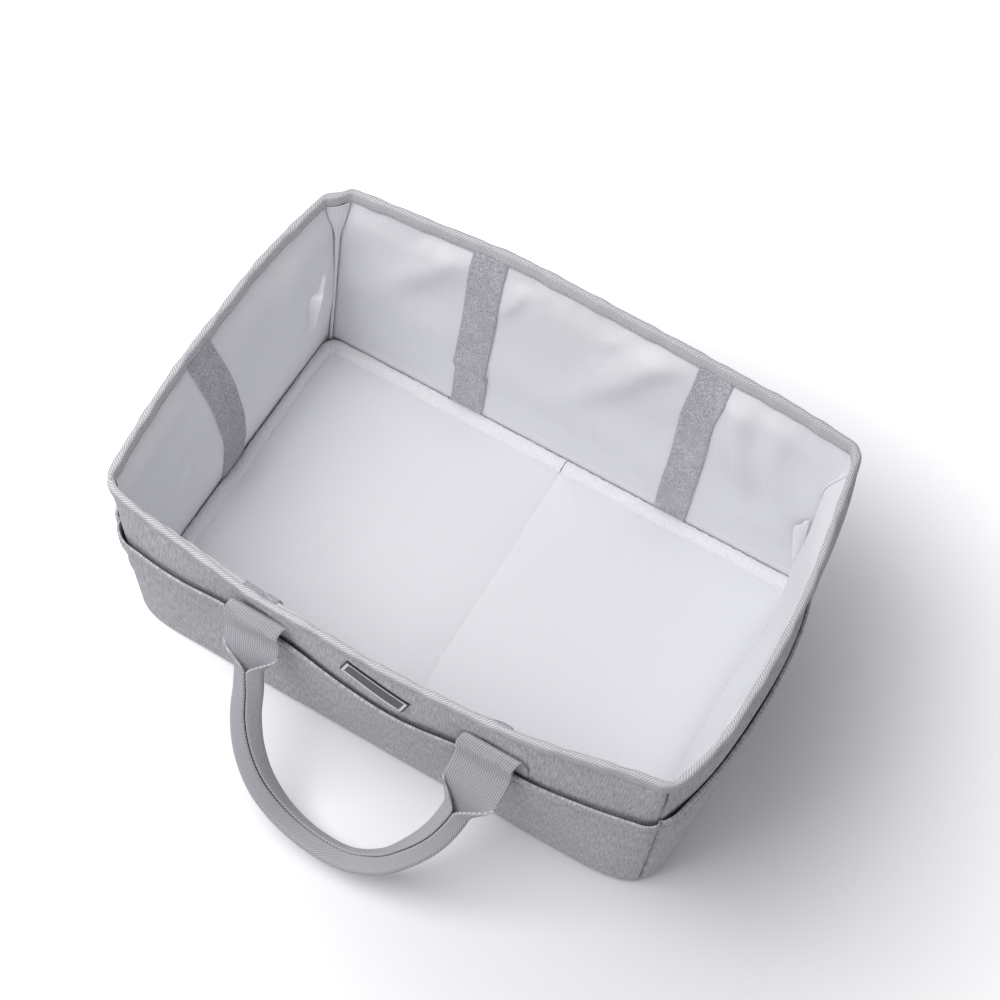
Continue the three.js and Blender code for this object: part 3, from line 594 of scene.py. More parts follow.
# Places on the back wall run from right to left, and on the left wall from back to front
lining_creases = {
    "front": [(((-90, 160), (-60, 110)), 10, 1.2), (((40, 160), (70, 105)), 12, 1.2)],
    "right": [(((-60, 170), (-30, 120), (0, 60)), 12, 2.0)],
    "back": [
        (((121, 186), (127, 158)), 4, 1.4), (((103, 182), (131, 134), (160, 80)), 13, 2.8),
        (((54, 168), (67, 126)), 6, 1.8), (((38, 188), (38, 165)), 5, 1.6), (((14, 190), (22, 174)), 5, 1.5),
        (((-54, 186), (-32, 146), (-6, 96), (30, 42)), 14, 4.2), (((-24, 184), (-6, 150)), 6, 1.4),
        (((-104, 186), (-124, 120), (-156, 30)), 12, 5.0), (((-135, 178), (-155, 110), (-172, 50)), 12, 3.4)],
    "left": [(((63, 104), (84, 58)), 5, 1.4), (((-70, 150), (-40, 90)), 16, 1.6)],
}
# How far the front lining puffs out under the binding, along the wall
FRONT_PUFF = ((-1, -0.97, -0.88, -0.7, -0.5, -0.3, -0.15, 0, 0.15, 0.3, 0.42, 0.55, 0.7, 0.85, 0.97, 1),
              (0, 0.5, 2.0, 3.0, 3.4, 3.2, 2.4, 1.2, 0.8, 1.2, 3.2, 3.2, 2.4, 1.2, 0.5, 0))
PUFF_LEVEL = 181.0
# How far the right lining sags over the insert, along the wall
RIGHT_SAG = ((-1, -0.85, -0.4, 0.3, 0.75, 1), (0, 8, 15, 14, 4, 0))
RIGHT_SAG_LEVEL = 24.0
lining_levels = np.concatenate([(1.6, 3.0, 5.0, 7.5), np.linspace(10.5, 169, 53), np.linspace(171, 191, 21)])


def lining_push(number, wall, levels):
    """How far out of the outer cloth's face the lining's inner face lies; it is negative, inside the box."""
    z = np.asarray(levels, float)[:, None]
    sewn = eased(z, 28, 60) * (1 - eased(z, 165, 186)) * (1 - seam_pull)
    near_foot = eased(z, 24, 50) * (1 - seam_pull)
    pucker = 0.4 * np.sin(column_place / 3.1 + 2 * np.sin(column_place / 23)) * np.exp(-((z - 186) / 14) ** 2)
    inward = sewn * 1.1 * (0.7 + ripple(column_place, z, 75, 51 + number)) + pucker * (1 - seam_pull)
    folds = 1.5 * creases(column_place, z, lining_creases[wall])
    inward = inward + near_foot * (1 - eased(z, 168, 187)) * folds
    if wall in ("front", "back"):
        inward = inward + 1.7 * np.exp(-(((z - 8) / 4) ** 2))
    if wall == "front":
        puff = through(*FRONT_PUFF, column_share) * (1 + 0.2 * ripple(column_place, 0, 30, 5))
        inward = inward + puff * np.exp(-(((z - PUFF_LEVEL) / np.where(z > PUFF_LEVEL, 2.0, 14.0)) ** 2))
    if wall == "left":
        inward = inward + 8.5 * np.sin(np.pi * np.clip(z / 186, 0, 1)) ** 1.3 * (1 - column_share**4)
    if wall == "right":
        sag = through(*RIGHT_SAG, column_share) * eased(z, 2, 14) * (1 - seam_pull)
        from_sag = z - RIGHT_SAG_LEVEL
        inward = inward + sag * np.exp(-(from_sag / np.where(from_sag < 0, 16, 48)) ** 2)
    behind_tape = np.clip(1 - to_seam / (cut_here * cut_share(z)), 0, 1)
    back_left_corner = ((column_wall == 2) & ~starts) | ((column_wall == 3) & starts)
    slit = 2.2 * eased(behind_tape, 0, 0.25) * back_left_corner
    return (LINING_FACE - LINING) * pressed(levels) - np.clip(inward, 0, None) + slit


for number, wall in enumerate(WALLS):
    face = lining_push(number, wall, lining_levels)
    inside = wall_layer(wall, lining_levels, face)
    outside = wall_layer(wall, lining_levels, face + LINING)
    lining = woven(f"lining_cloth_{wall}", doubled(outside, inside), flat_cloth(inside), white_lining)
    fit(lining, "caddy", "lining", f"lining_{wall}")
lining_bottom = floor_cloth("lining_cloth_floor", 1.4, LINING, 6.2, white_lining)
fit(lining_bottom, "caddy", "lining", "lining_floor")


# Rim binding: one herringbone twill tape, folded over the top edge of all four walls and sewn through.
# It follows the waves of the rim and is a little uneven itself.
BINDING = 1.0
BINDING_DEPTH = 11.5
BINDING_OUT, BINDING_IN = 0.8, -3.7

# Herringbone tape: polyester twill whose diagonal ribs turn every few millimetres. The ribs are
# 1.2 mm apart; they are drawn at 2 mm.
twill_tape, tree, shader = finish_of("herringbone_twill_tape", 0.85, Sheen_Weight=0.15, Sheen_Roughness=0.5)
tape_uv = add(tree, "ShaderNodeSeparateXYZ", {0: add(tree, "ShaderNodeTexCoord").outputs["UV"]})
zigzag = add(tree, "ShaderNodeMath", {0: tape_uv.outputs["Y"], 1: 7.5 * MM}, operation="PINGPONG")
slanted = add(tree, "ShaderNodeMath", {0: tape_uv.outputs["X"], 1: zigzag.outputs[0]}, operation="ADD")
slanted_place = add(tree, "ShaderNodeCombineXYZ", {0: slanted.outputs[0], 1: tape_uv.outputs["Y"]})
twill = add(tree, "ShaderNodeTexWave", {
    "Vector": slanted_place.outputs[0], "Scale": band_scale(2.0), "Distortion": 1.0, "Detail": 1.0,
    "Detail Scale": 2.0}, bands_direction="X").outputs["Fac"]
speckle = add(tree, "ShaderNodeTexNoise", {
    "Vector": slanted_place.outputs[0], "Scale": 1 / (1.3 * MM), "Detail": 2.0})
twill_mix = add(tree, "ShaderNodeMix", {0: 0.35, 2: twill, 3: speckle.outputs["Fac"]}, data_type="FLOAT")
coloured(tree, shader, twill_mix.outputs[0], "#96959a", "#f2f1f5", twill, strength=0.6, depth=0.4)

low = HEIGHT - BINDING_DEPTH
round_angles = np.linspace(0, np.pi, 9)
half_across, middle_across = (BINDING_OUT - BINDING_IN) / 2, (BINDING_OUT + BINDING_IN) / 2
round_rise = 2.2
tape_profile = [(BINDING_OUT - 0.3, low), (BINDING_OUT, low + 0.5), (BINDING_OUT + 0.2, low + 5)]
tape_profile += [(middle_across + half_across * math.cos(a), HEIGHT - round_rise + round_rise * math.sin(a))
                 for a in round_angles]
tape_profile += [(BINDING_IN - 0.2, low + 5), (BINDING_IN, low + 0.5), (BINDING_IN + 0.3, low)]
under_profile = [(BINDING_IN + BINDING, low), (BINDING_IN + BINDING, HEIGHT - 3),
                 (BINDING_OUT - BINDING, HEIGHT - 3), (BINDING_OUT - BINDING, low)]
tape_lines = []
tape_bumps = 0.25 * np.sin(column_walk / 5.3) + 0.2 * np.sin(column_walk / 2.9 + 1)
for out, level in tape_profile + under_profile:
    form, outward = box_form([level])
    loose = tape_bumps * ((out, level) in tape_profile)
    tape_lines.append(form[0] + outward[0] * (out + np.sign(out - middle_across) * loose)[:, None])
tape_loops = np.array(tape_lines)


def run_along(points):
    """The length walked along a line at each of its points."""
    return np.concatenate([[0], np.cumsum(np.linalg.norm(np.diff(points, axis=0), axis=1))])


tape_run = run_along(np.array(tape_profile + under_profile + tape_profile[:1]))
tape_weave = np.stack(np.meshgrid(np.append(column_walk, walked), tape_run), axis=2)
binding = woven("rim_tape", tape_loops, tape_weave, twill_tape, ring=True, crease=60)
fit(binding, "caddy", "rim_tape", "rim_binding")


# Loop tapes: soft loop-pile tape for fixing dividers, sewn flat on the lining, two on each long wall
# and one on the left end, which curves with its bellied lining.
TAPE_WIDTH, TAPE_THICKNESS = 25.0, 1.1
TAPE_FOOT, TAPE_TOP = 6.0, 185.5
# Each tape's wall, and the place of its middle along that wall at its foot and at its top
tape_places = {
    "back_left": ("back", 79.0, 80.3), "back_right": ("back", -87.0, -87.0),
    "front_left": ("front", -81.0, -81.0), "front_right": ("front", 81.0, 81.0),
    "left": ("left", 6.0, 24.0),
}

# Loop tape: knitted nylon ground with a fuzzy brushed pile, grey with pale fibre ends. The loops are
# under half a millimetre; they are drawn at about one.
loop_tape, tree, shader = finish_of("brushed_loop_tape", 0.95, Sheen_Weight=0.4, Sheen_Roughness=0.6)
tape_place = add(tree, "ShaderNodeTexCoord").outputs["Object"]
fuzz = add(tree, "ShaderNodeTexNoise", {
    "Vector": tape_place, "Scale": 1 / (1.2 * MM), "Detail": 3.0, "Roughness": 0.7}).outputs["Fac"]
patches = add(tree, "ShaderNodeTexNoise", {"Vector": tape_place, "Scale": 1 / (9 * MM), "Detail": 2.0})
fuzz_mix = add(tree, "ShaderNodeMix", {0: 0.12, 2: fuzz, 3: patches.outputs["Fac"]}, data_type="FLOAT")
fuzz_share = add(tree, "ShaderNodeMapRange", {
    "Value": fuzz_mix.outputs[0], "From Min": 0.40, "From Max": 0.62})
coloured(tree, shader, fuzz_share.outputs[0], "#9897a2", "#d8d7df", fuzz, strength=0.7, depth=0.5)


def growing_tree(name, **kinds):
    """A new node tree that grows things on a mesh, with named inputs; gives the tree and its inputs."""
    made = bpy.data.node_groups.new(name, "GeometryNodeTree")
    sockets = [("Geometry", "INPUT", "Geometry"), *((each, "INPUT", kind) for each, kind in kinds.items()),
               ("Geometry", "OUTPUT", "Geometry")]
    for socket, way, kind in sockets:
        made.interface.new_socket(socket.replace("_", " "), in_out=way, socket_type="NodeSocket" + kind)
    return made, add(made, "NodeGroupInput").outputs


def given_out(tree, instances, material):
    """Makes a tree's instances real, dresses them and gives them out."""
    real = add(tree, "GeometryNodeRealizeInstances", {"Geometry": instances.outputs[0]})
    dressed = add(tree, "GeometryNodeSetMaterial", {"Geometry": real.outputs[0], "Material": material})
    add(tree, "NodeGroupOutput", {"Geometry": dressed.outputs[0]})


pile_tree, pile_in = growing_tree(
    "loop_pile", Density="Float", Loop_Size="Float", Seed="Int", Pile_Material="Material")
has_pile = add(pile_tree, "GeometryNodeInputNamedAttribute", {"Name": "pile"}, data_type="BOOLEAN")
scattered = add(pile_tree, "GeometryNodeDistributePointsOnFaces", {
    "Mesh": pile_in["Geometry"], "Selection": has_pile.outputs["Attribute"], "Density": pile_in["Density"],
    "Seed": pile_in["Seed"]})
loop = add(pile_tree, "GeometryNodeMeshIcoSphere", {"Radius": pile_in["Loop Size"], "Subdivisions": 1})
loop_smooth = add(pile_tree, "GeometryNodeSetShadeSmooth", {"Geometry": loop.outputs["Mesh"]})
uneven = add(pile_tree, "FunctionNodeRandomValue", {
    0: (0.6, 0.6, 0.4), 1: (1.3, 1.3, 1.0), "Seed": pile_in["Seed"]}, data_type="FLOAT_VECTOR")
loops = add(pile_tree, "GeometryNodeInstanceOnPoints", {
    "Points": scattered.outputs["Points"], "Instance": loop_smooth.outputs[0],
    "Rotation": scattered.outputs["Rotation"], "Scale": uneven.outputs["Value"]})
given_out(pile_tree, loops, pile_in["Pile Material"])


def grown_from(tree, base, name, **values):
    """The mesh that a node tree makes on a base mesh, as an object with no modifier left."""
    piece = bpy.data.objects.new(name, base)
    scene.collection.objects.link(piece)
    modifier = piece.modifiers.new("grow", "NODES")
    modifier.node_group = tree
    for socket in tree.interface.items_tree:
        if socket.name.replace(" ", "_") in values:
            modifier[socket.identifier] = values[socket.name.replace(" ", "_")]
    mesh = bpy.data.meshes.new_from_object(piece.evaluated_get(bpy.context.evaluated_depsgraph_get()))
    piece.modifiers.remove(modifier)
    piece.data = mesh
    return piece


def pile_on(piece, first_point, name, **values):
    """Marks the faces whose points all come at or after one point, and grows a pile on them."""
    marked = piece.data.attributes.new("pile", "BOOLEAN", "FACE")
    marked.data.foreach_set("value", [min(face.vertices) >= first_point for face in piece.data.polygons])
    return grown_from(pile_tree, piece.data.copy(), name, **values)


def along_layer(wall, layer, places):
    """Points of a wall's layer at some places along it, level by level."""
    columns = column_place[of_wall[wall]]
    return np.array([[np.interp(row, columns, line[:, k]) for k in range(3)]
                     for row, line in zip(places, layer)]).transpose(0, 2, 1)


def on_lining(wall, places, levels, lift):
    """Points on the lining of a wall, raised into the box by so much; lift may vary along a level."""
    face = lining_push(WALLS.index(wall), wall, levels)
    near = along_layer(wall, wall_layer(wall, levels, face), places)
    raised = along_layer(wall, wall_layer(wall, levels, face - 1), places)
    return near + (raised - near) * np.broadcast_to(lift, places.shape)[:, :, None]


tape_across = np.array((-12.5, -12.3, -11.6, -9, -6, -3, 0, 3, 6, 9, 11.6, 12.3, 12.5))
tape_rounding = np.where(np.abs(tape_across) > 12.4, 0.25, np.where(np.abs(tape_across) > 12, 0.75, 1.0))
tape_levels = np.concatenate([np.linspace(TAPE_FOOT, 169, 56), np.linspace(171, TAPE_TOP, 15)])
inside_rows = []
for seed, (name, (wall, foot, top)) in enumerate(tape_places.items()):
    share = (tape_levels - TAPE_FOOT) / (TAPE_TOP - TAPE_FOOT)
    places = (foot + (top - foot) * share**1.2 + 0.5 * np.sin(tape_levels / 23 + seed))[:, None] + tape_across
    slipped = 0
    if name == "back_left":
        places = places - 2.0 * (1 - eased(tape_levels, 54, 58))[:, None]
        slack = eased(tape_levels, 30, 40) * (1 - eased(tape_levels, 57, 60))
        slipped = (slack + 2.0 * np.exp(-(((tape_levels - 63) / 5) ** 2)))[:, None]
    under = on_lining(wall, places, tape_levels, 0.1)
    upper = on_lining(wall, places, tape_levels, 0.35 + slipped + TAPE_THICKNESS * tape_rounding)
    tape = woven(f"loop_tape_strip_{name}", doubled(under, upper), flat_cloth(under), loop_tape, crease=50)
    fit(tape, "caddy", "loop_tape", f"loop_tape_{name}")
    pile = pile_on(tape, len(tape_levels) * len(tape_across), f"loop_tape_pile_{name}", Density=1.1e6,
                   Loop_Size=0.42 * MM, Seed=seed, Pile_Material=loop_tape)
    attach(pile, "caddy")
    inside_rows += [upper[:, 2], upper[:, -3]]


# Corner tapes: a strip of the white cloth over each upright corner of the lining, sewn at both edges.
# In the back left corner it stands off the lining, so a dark slit shows along its edge.
CORNER_TAPE, CORNER_TAPE_LEAST = 0.45, 4.5
CORNER_NODES = {"front": "front_right", "right": "back_right", "back": "back_left", "left": "front_left"}
corner_levels = np.linspace(5, 185.5, 50)
across_strip = np.linspace(0, 1, 9)
# The edge of the back left strip stands off the back wall's lining towards the floor
strip_edge = 0.05 + 0.12 * np.exp(-(((corner_levels - 45) / 60) ** 2))
for number, wall in enumerate(WALLS):
    following = WALLS[(number + 1) % 4]
    here, beyond = CORNER_CUTS[wall]
    end, start = column_place[of_wall[wall]][-1], column_place[of_wall[following]][0]
    slit_corner = wall == "back"
    stand, waver, bulge = (0.9, 0.3, 1.3) if slit_corner else (0.15, 0.1, 0.6)
    lift = stand + waver * np.sin(corner_levels / 17)[:, None]
    wide = cut_share(corner_levels)[:, None]
    near = on_lining(wall, end - np.maximum(here * wide, CORNER_TAPE_LEAST), corner_levels, lift)
    far = on_lining(following, start + np.maximum(beyond * wide, CORNER_TAPE_LEAST), corner_levels, lift)
    inward = np.array([(-1, 1, 0), (-1, -1, 0), (1, -1, 0), (1, 1, 0)][number]) / math.sqrt(2)
    rise = bulge * np.sin(np.pi * across_strip) + 0.1 * np.sin(corner_levels / 9)[:, None] + 0.1
    least = strip_edge[:, None] if slit_corner else 0.0
    shares = least + (1 - least) * np.broadcast_to(across_strip, rise.shape)
    strip = near + (far - near) * shares[:, :, None] + inward * rise[:, :, None]
    corner_tape = woven(f"corner_strip_{CORNER_NODES[wall]}", doubled(strip, strip + inward * CORNER_TAPE),
                        flat_cloth(strip), white_lining, crease=60)
    fit(corner_tape, "caddy", "seam_tape", f"corner_tape_{CORNER_NODES[wall]}")


# Care labels: two small bare labels of white satin, each sewn by its top edge into a corner seam and
# hanging twisted over the lining.
LABEL = 0.3

# Label satin: white polyester, woven so close that it shines a little.
label_satin, tree, shader = finish_of("white_label_satin", 0.45, Sheen_Weight=0.2)
satin = add(tree, "ShaderNodeTexWave", {
    "Vector": add(tree, "ShaderNodeTexCoord").outputs["UV"], "Scale": band_scale(0.8), "Distortion": 0.6},
    bands_direction="Y")
coloured(tree, shader, satin.outputs["Fac"], "#f4f4f6", "#fcfcfd")

# Two edges of each label as places along its wall, levels and lifts off the lining
label_edges = {
    "left": ("left", ((-105, 121, 1.0), (-95.5, 119.8, 5.0), (-86, 118.6, 9.0), (-80, 87.6, 6.0)),
             ((-101, 122.5, 1.0), (-93, 115.8, 2.0), (-82.4, 115, 0.6), (-81, 78.8, 0.6))),
    "right": ("back", ((-184, 94, 1.5), (-181, 87, 3.0), (-177.5, 80, 4.0), (-183, 40, 4.0)),
              ((-187, 98, 1.0), (-187, 95, 1.5), (-187, 90, 2.0), (-188, 46, 2.0))),
}


def off_lining(wall, place, level, lift):
    """One point over the lining of a wall."""
    return on_lining(wall, np.array([[place]]), [level], lift)[0, 0]


for name, (wall, *edges) in label_edges.items():
    rails = []
    for edge in edges:
        corners = np.array([off_lining(wall, *corner) for corner in edge])
        rails.append(through(np.linspace(0, 1, len(corners)), corners, np.linspace(1, 0, 17)))
    shares = np.linspace(0, 1, 6)[None, :, None]
    face = rails[0][:, None] + (rails[1] - rails[0])[:, None] * shares
    place, level, _ = edges[0][2]
    into_box = off_lining(wall, place, level, 1.0) - off_lining(wall, place, level, 0.0)
    face = face + into_box * (0.8 * np.sin(np.pi * shares))
    flip = -1 if np.dot(np.cross(face[0, -1] - face[0, 0], face[-1, 0] - face[0, 0]), into_box) > 0 else 1
    face = face[:, ::flip]
    label = woven(f"label_{name}", doubled(face, face + into_box * LABEL), flat_cloth(face), label_satin)
    fit(label, "caddy", "label", f"care_label_{name}")


# Patch: a small moulded rubber badge, sewn on the front wall above the pocket. It is black at its rim
# with a white line inside, and its dark grey field is bare.
PATCH_LENGTH, PATCH_HEIGHT, PATCH_THICKNESS = 46.0, 17.5, 1.1
PATCH_TILT = math.radians(-15)
PATCH_CENTRE = (5.5, 160.6)

# Moulded soft rubber in three colours, satin smooth. UV is the place on the patch from its middle.
patch_rubber, tree, shader = finish_of("moulded_rubber", 0.5)
patch_uv = add(tree, "ShaderNodeTexCoord").outputs["UV"]
patch_place = add(tree, "ShaderNodeSeparateXYZ", {0: patch_uv})
edge_parts = []
for axis, size in (("X", PATCH_LENGTH), ("Y", PATCH_HEIGHT)):
    away = add(tree, "ShaderNodeMath", {0: patch_place.outputs[axis]}, operation="ABSOLUTE")
    inside_edge = add(tree, "ShaderNodeMath", {0: size / 2 * MM, 1: away.outputs[0]}, operation="SUBTRACT")
    edge_parts.append(inside_edge.outputs[0])
edge_near = add(tree, "ShaderNodeMath", {0: edge_parts[0], 1: edge_parts[1]}, operation="MINIMUM")
in_line, in_field = (add(tree, "ShaderNodeMapRange", {
    "Value": edge_near.outputs[0], "From Min": start * MM, "From Max": end * MM}).outputs[0]
    for start, end in ((1.0, 1.3), (2.7, 3.0)))
mould = add(tree, "ShaderNodeTexNoise", {"Vector": patch_uv, "Scale": 1 / (1.2 * MM)}).outputs["Fac"]
edged, field = (add(tree, "ShaderNodeMix", {0: share, 6: tone(dark), 7: tone(light)}, data_type="RGBA")
                for share, dark, light in ((in_line, "#19191c", "#f2f2f4"), (mould, "#46464a", "#55555a")))
patch_colour = add(tree, "ShaderNodeMix", {
    0: in_field, 6: edged.outputs[2], 7: field.outputs[2]}, data_type="RGBA")
tree.links.new(patch_colour.outputs[2], shader.inputs["Base Color"])


def wall_face(wall, places, levels, lift):
    """Points on a wall's outer cloth, raised off it by so much."""
    points = []
    lifts = np.broadcast_to(lift, np.shape(places))
    for place, level, up in zip(np.ravel(places), np.ravel(levels), np.ravel(lifts)):
        face = outer_push(WALLS.index(wall), wall, [level])
        points.append(along_layer(wall, wall_layer(wall, [level], face + up), np.array([[place]]))[0, 0])
    return np.array(points).reshape(*np.shape(places), 3)


across = np.concatenate([(-23, -22.6, -21.6), np.linspace(-20, 20, 15), (21.6, 22.6, 23)])
up = np.concatenate([(-8.75, -8.3, -7.3), np.linspace(-5.6, 5.6, 5), (7.3, 8.3, 8.75)])
flat = np.stack(np.meshgrid(across, up), axis=2)
places = PATCH_CENTRE[0] + flat[:, :, 0] * math.cos(PATCH_TILT) - flat[:, :, 1] * math.sin(PATCH_TILT)
levels = PATCH_CENTRE[1] + flat[:, :, 0] * math.sin(PATCH_TILT) + flat[:, :, 1] * math.cos(PATCH_TILT)
to_edge = np.minimum(PATCH_LENGTH / 2 - np.abs(flat[:, :, 0]), PATCH_HEIGHT / 2 - np.abs(flat[:, :, 1]))
relief_height = PATCH_THICKNESS * (0.45 + 0.55 * eased(to_edge, 0, 0.9)) - 0.5 * eased(to_edge, 2.6, 3.4)
patch_top, patch_back = (wall_face("front", places, levels, lift) for lift in (0.2 + relief_height, 0.1))
patch = woven("badge_patch", doubled(patch_top, patch_back), both_sides(flat), patch_rubber)
fit(patch, "caddy", "patch", "front_patch")


# Handles: one length of ribbed webbing each. Its ends are sewn flat to the wall inside the pocket's mouth,
# it folds over there, hangs down, and is folded in half and sewn shut to make the grip.
WEBBING_HALF, WEBBING = 19.0, 2.2
HANDLE_END = 80.5
HINGE_OUT, HINGE_LEVEL = 143.054, 160.0
SLANT = math.radians(24.426)
CLOSE_LEFT, CLOSE_RIGHT = (29.0, 48.0), (41.0, 66.0)
FOLD_RADIUS, FOLD_RADIUS_MORE = 1.35, 0.75
FOLD_TURN = math.radians(151)
GRIP_WIDENING = 0.1
EDGE_GAP = 0.5
SHOULDER = 2.0
# The loop's legs bow towards the wall, so that they pass the rim when the handle stands up
LEG_BOW = 6.0
# Middle line of the loop in its own plane: across, and down from the fold
loop_line = np.array((
    (-80.5, 3), (-80.5, 16), (-79.5, 30), (-77, 44), (-74.4, 60), (-71, 86), (-62, 112), (-44.5, 137),
    (-26, 151), (-4, 158), (20, 157), (42, 142.5), (58.5, 119), (70, 94), (74.8, 74), (76.8, 58), (78.6, 44),
    (80, 30), (80.5, 16), (80.5, 3)))
# The grip turns its sewn side into the loop towards the bottom, because webbing bends most easily flatwise
GRIP_ROLL = ((0, 45, 90, 130, 158), (0, 0, 26, 62, 95))

# Ribbed webbing: grey nylon, woven with lengthwise ribs of 1.5 mm, whose little shine on their crowns is
# painted into the colour.
ribbed_webbing, tree, shader = finish_of("ribbed_nylon_webbing", 0.6, Sheen_Weight=0.1, Sheen_Roughness=0.4)
webbing_uv = add(tree, "ShaderNodeTexCoord").outputs["UV"]
ribs = add(tree, "ShaderNodeTexWave", {
    "Vector": webbing_uv, "Scale": band_scale(1.5), "Distortion": 0.5, "Detail": 1.0}, bands_direction="X")
picks = add(tree, "ShaderNodeTexWave", {
    "Vector": webbing_uv, "Scale": band_scale(1.0), "Distortion": 1.0}, bands_direction="Y")
rib_height_and_painted_shine = add(tree, "ShaderNodeMix", {
    0: 0.2, 2: ribs.outputs["Fac"], 3: picks.outputs["Fac"]}, data_type="FLOAT").outputs[0]
# Painted highlight on the rib crowns and painted shade in the grooves, from the same pattern as the relief.
coloured(tree, shader, rib_height_and_painted_shine, "#98989e", "#d4d3d9", rib_height_and_painted_shine, strength=0.8, depth=0.45)

section = np.concatenate([(-19, -18.6), np.linspace(-17.8, 17.8, 43), (18.6, 19)])
fine = np.linspace(0, WEBBING_HALF, 191)


def folded_section(closing):
    """The webbing's cut across, flat at 0 and with both sides folded to the middle at 1: its two faces."""
    radius = FOLD_RADIUS + FOLD_RADIUS_MORE * closing
    slope = -math.cos(FOLD_TURN)
    beyond_fold = slope * (WEBBING_HALF - radius * FOLD_TURN)
    middle_half = (EDGE_GAP + beyond_fold - radius * math.sin(FOLD_TURN)) / (1 + slope)
    folded_at = WEBBING_HALF - closing * (WEBBING_HALF - middle_half)
    turn_at = FOLD_TURN * np.clip((fine - folded_at) / (radius * FOLD_TURN), 0, 1)
    step = fine[1] - fine[0]
    across_run = np.concatenate([[0], np.cumsum(np.cos(turn_at[1:]) * step)]) * (1 + GRIP_WIDENING * closing)
    front_run = -np.concatenate([[0], np.cumsum(np.sin(turn_at[1:]) * step)])
    place = np.abs(section)
    to_side = np.sign(section) * np.interp(place, fine, across_run)
    middle = np.stack([to_side, np.interp(place, fine, front_run)], axis=1)
    angle = np.interp(place, fine, turn_at)
    normal = np.stack([np.sign(section) * np.sin(angle), np.cos(angle)], axis=1)
    half = WEBBING / 2 * np.where(place > 18.8, 0.35, np.where(place > 18, 0.85, 1.0))[:, None]
    back, front = middle + normal * half, middle - normal * half
    return np.concatenate([back[::-1], front])


def line_through(points, step):
    """A smooth line through points, at even steps."""
    run = run_along(points)
    return through(run, points, np.linspace(0, run[-1], round(run[-1] / step) + 1))


def headings(points):
    """The direction of a line at each of its points."""
    heading = np.gradient(points, axis=0)
    return heading / np.linalg.norm(heading, axis=1, keepdims=True)


plane_down = np.array((0, -math.sin(SLANT), -math.cos(SLANT)))
plane_back = np.array((0, math.cos(SLANT), -math.sin(SLANT)))
hinge = np.array((0, -HINGE_OUT, HINGE_LEVEL))
flat_loop = line_through(loop_line, 1.6)
shoulder = 0.9 + SHOULDER * np.exp(-(((flat_loop[:, 1:] - 10) / 8) ** 2))
shoulder = shoulder - LEG_BOW * eased(flat_loop[:, 1:], 2, 24) * (1 - eased(flat_loop[:, 1:], 60, 140))
loop_points = hinge + flat_loop[:, :1] * np.array((1, 0, 0)) + flat_loop[:, 1:] * plane_down
loop_points = loop_points - plane_back * shoulder
for side, half_turn in (("front", 1), ("back", -1)):
    ends = []
    for place in (-HANDLE_END, HANDLE_END):
        wall_levels = np.array((127.0, 136.0, 146.0, 153.0, 157.0))
        on_wall = wall_face(side, np.full((1, 5), place), wall_levels[None], WEBBING / 2 + 0.35)[0]
        on_wall = on_wall * np.array((half_turn, half_turn, 1))
        on_wall[:, 0] = place + np.array((7.0, 7.0, 7.0, 6.5, 5.5))
        top = np.array(((place + 2.5, (on_wall[-1, 1] + loop_points[0, 1]) / 2, 160.8),))
        first = loop_points[:3] if place < 0 else loop_points[-1:-4:-1]
        ends.append(line_through(np.concatenate([on_wall, top, first[2:3]]), 1.3)[:-1])
    path = np.concatenate([ends[0], loop_points[2:-2], ends[1][::-1]])
    depth = np.concatenate([np.zeros(len(ends[0])), flat_loop[2:-2, 1], np.zeros(len(ends[1]))])
    heading = headings(path)
    back = np.tile(plane_back, (len(path), 1))
    for index in list(range(len(ends[0]))) + list(range(len(path) - len(ends[1]), len(path))):
        way = 1 if index < len(ends[0]) else -1
        heading[index] = heading[index] * (0, 1, 1) / np.linalg.norm(heading[index, 1:])
        back[index] = np.cross((way, 0, 0), heading[index])
    across_path = np.cross(heading, back)
    across_path /= np.linalg.norm(across_path, axis=1, keepdims=True)
    roll = np.radians(np.interp(depth, *GRIP_ROLL))
    roll = np.convolve(np.pad(roll, 8, "edge"), np.ones(17) / 17, "valid")[:, None]
    rolled_back = back * np.cos(roll) - across_path * np.sin(roll)
    across_path = across_path * np.cos(roll) + back * np.sin(roll)
    closing = np.where(path[:, 0] < 0, eased(depth, *CLOSE_LEFT), eased(depth, *CLOSE_RIGHT))
    sections = np.array([folded_section(c) for c in closing]).transpose(1, 0, 2)
    handle_loops = path + sections[:, :, :1] * across_path + sections[:, :, 1:] * rolled_back
    path_run = run_along(path)
    slanting = np.concatenate([[0], np.cumsum(np.diff(path_run) * 0.55 * closing[1:])])
    around = np.concatenate([section[::-1], section, section[-1:]])
    weave_across = around[:, None] * (1 + 0.45 * closing) + slanting
    handle_weave = np.stack([weave_across, np.tile(path_run, (len(around), 1))], axis=2)
    turned = handle_loops * np.array((half_turn, half_turn, 1))
    handle = woven(f"webbing_handle_{side}", turned, handle_weave, ribbed_webbing, crease=60)
    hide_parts(f"handle_{side}", *(f"handle_anchor_{side}_{end}" for end in ("left", "right")))
    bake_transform(handle)


# Base insert: a padded mat in two halves, each a board in a white cover with a thin cushion on it and
# a terry welt round its three free edges. The cover is one cloth, stitched through at the middle fold.
PAD_REACH = {"left": 199.0, "right": 189.5}
PAD_HALF_DEPTH = 120.0
PAD_RADII = {"left": (12.0, 30.0), "right": (30.0, 12.0)}
WELT_WIDTH, WELT_ROUND = 8.8, 40.0
FOLD_HALF_GAP, FOLD_COVER = 0.4, 0.7
CUSHION_FOOT, CUSHION_EDGE, CUSHION_CAP = 5.9, 9.9, 2.6
PAD_ROWS, PAD_COLUMNS = 44, 40
PUFF_PRESSURE, PUFF_FRAMES = 4.0, 20

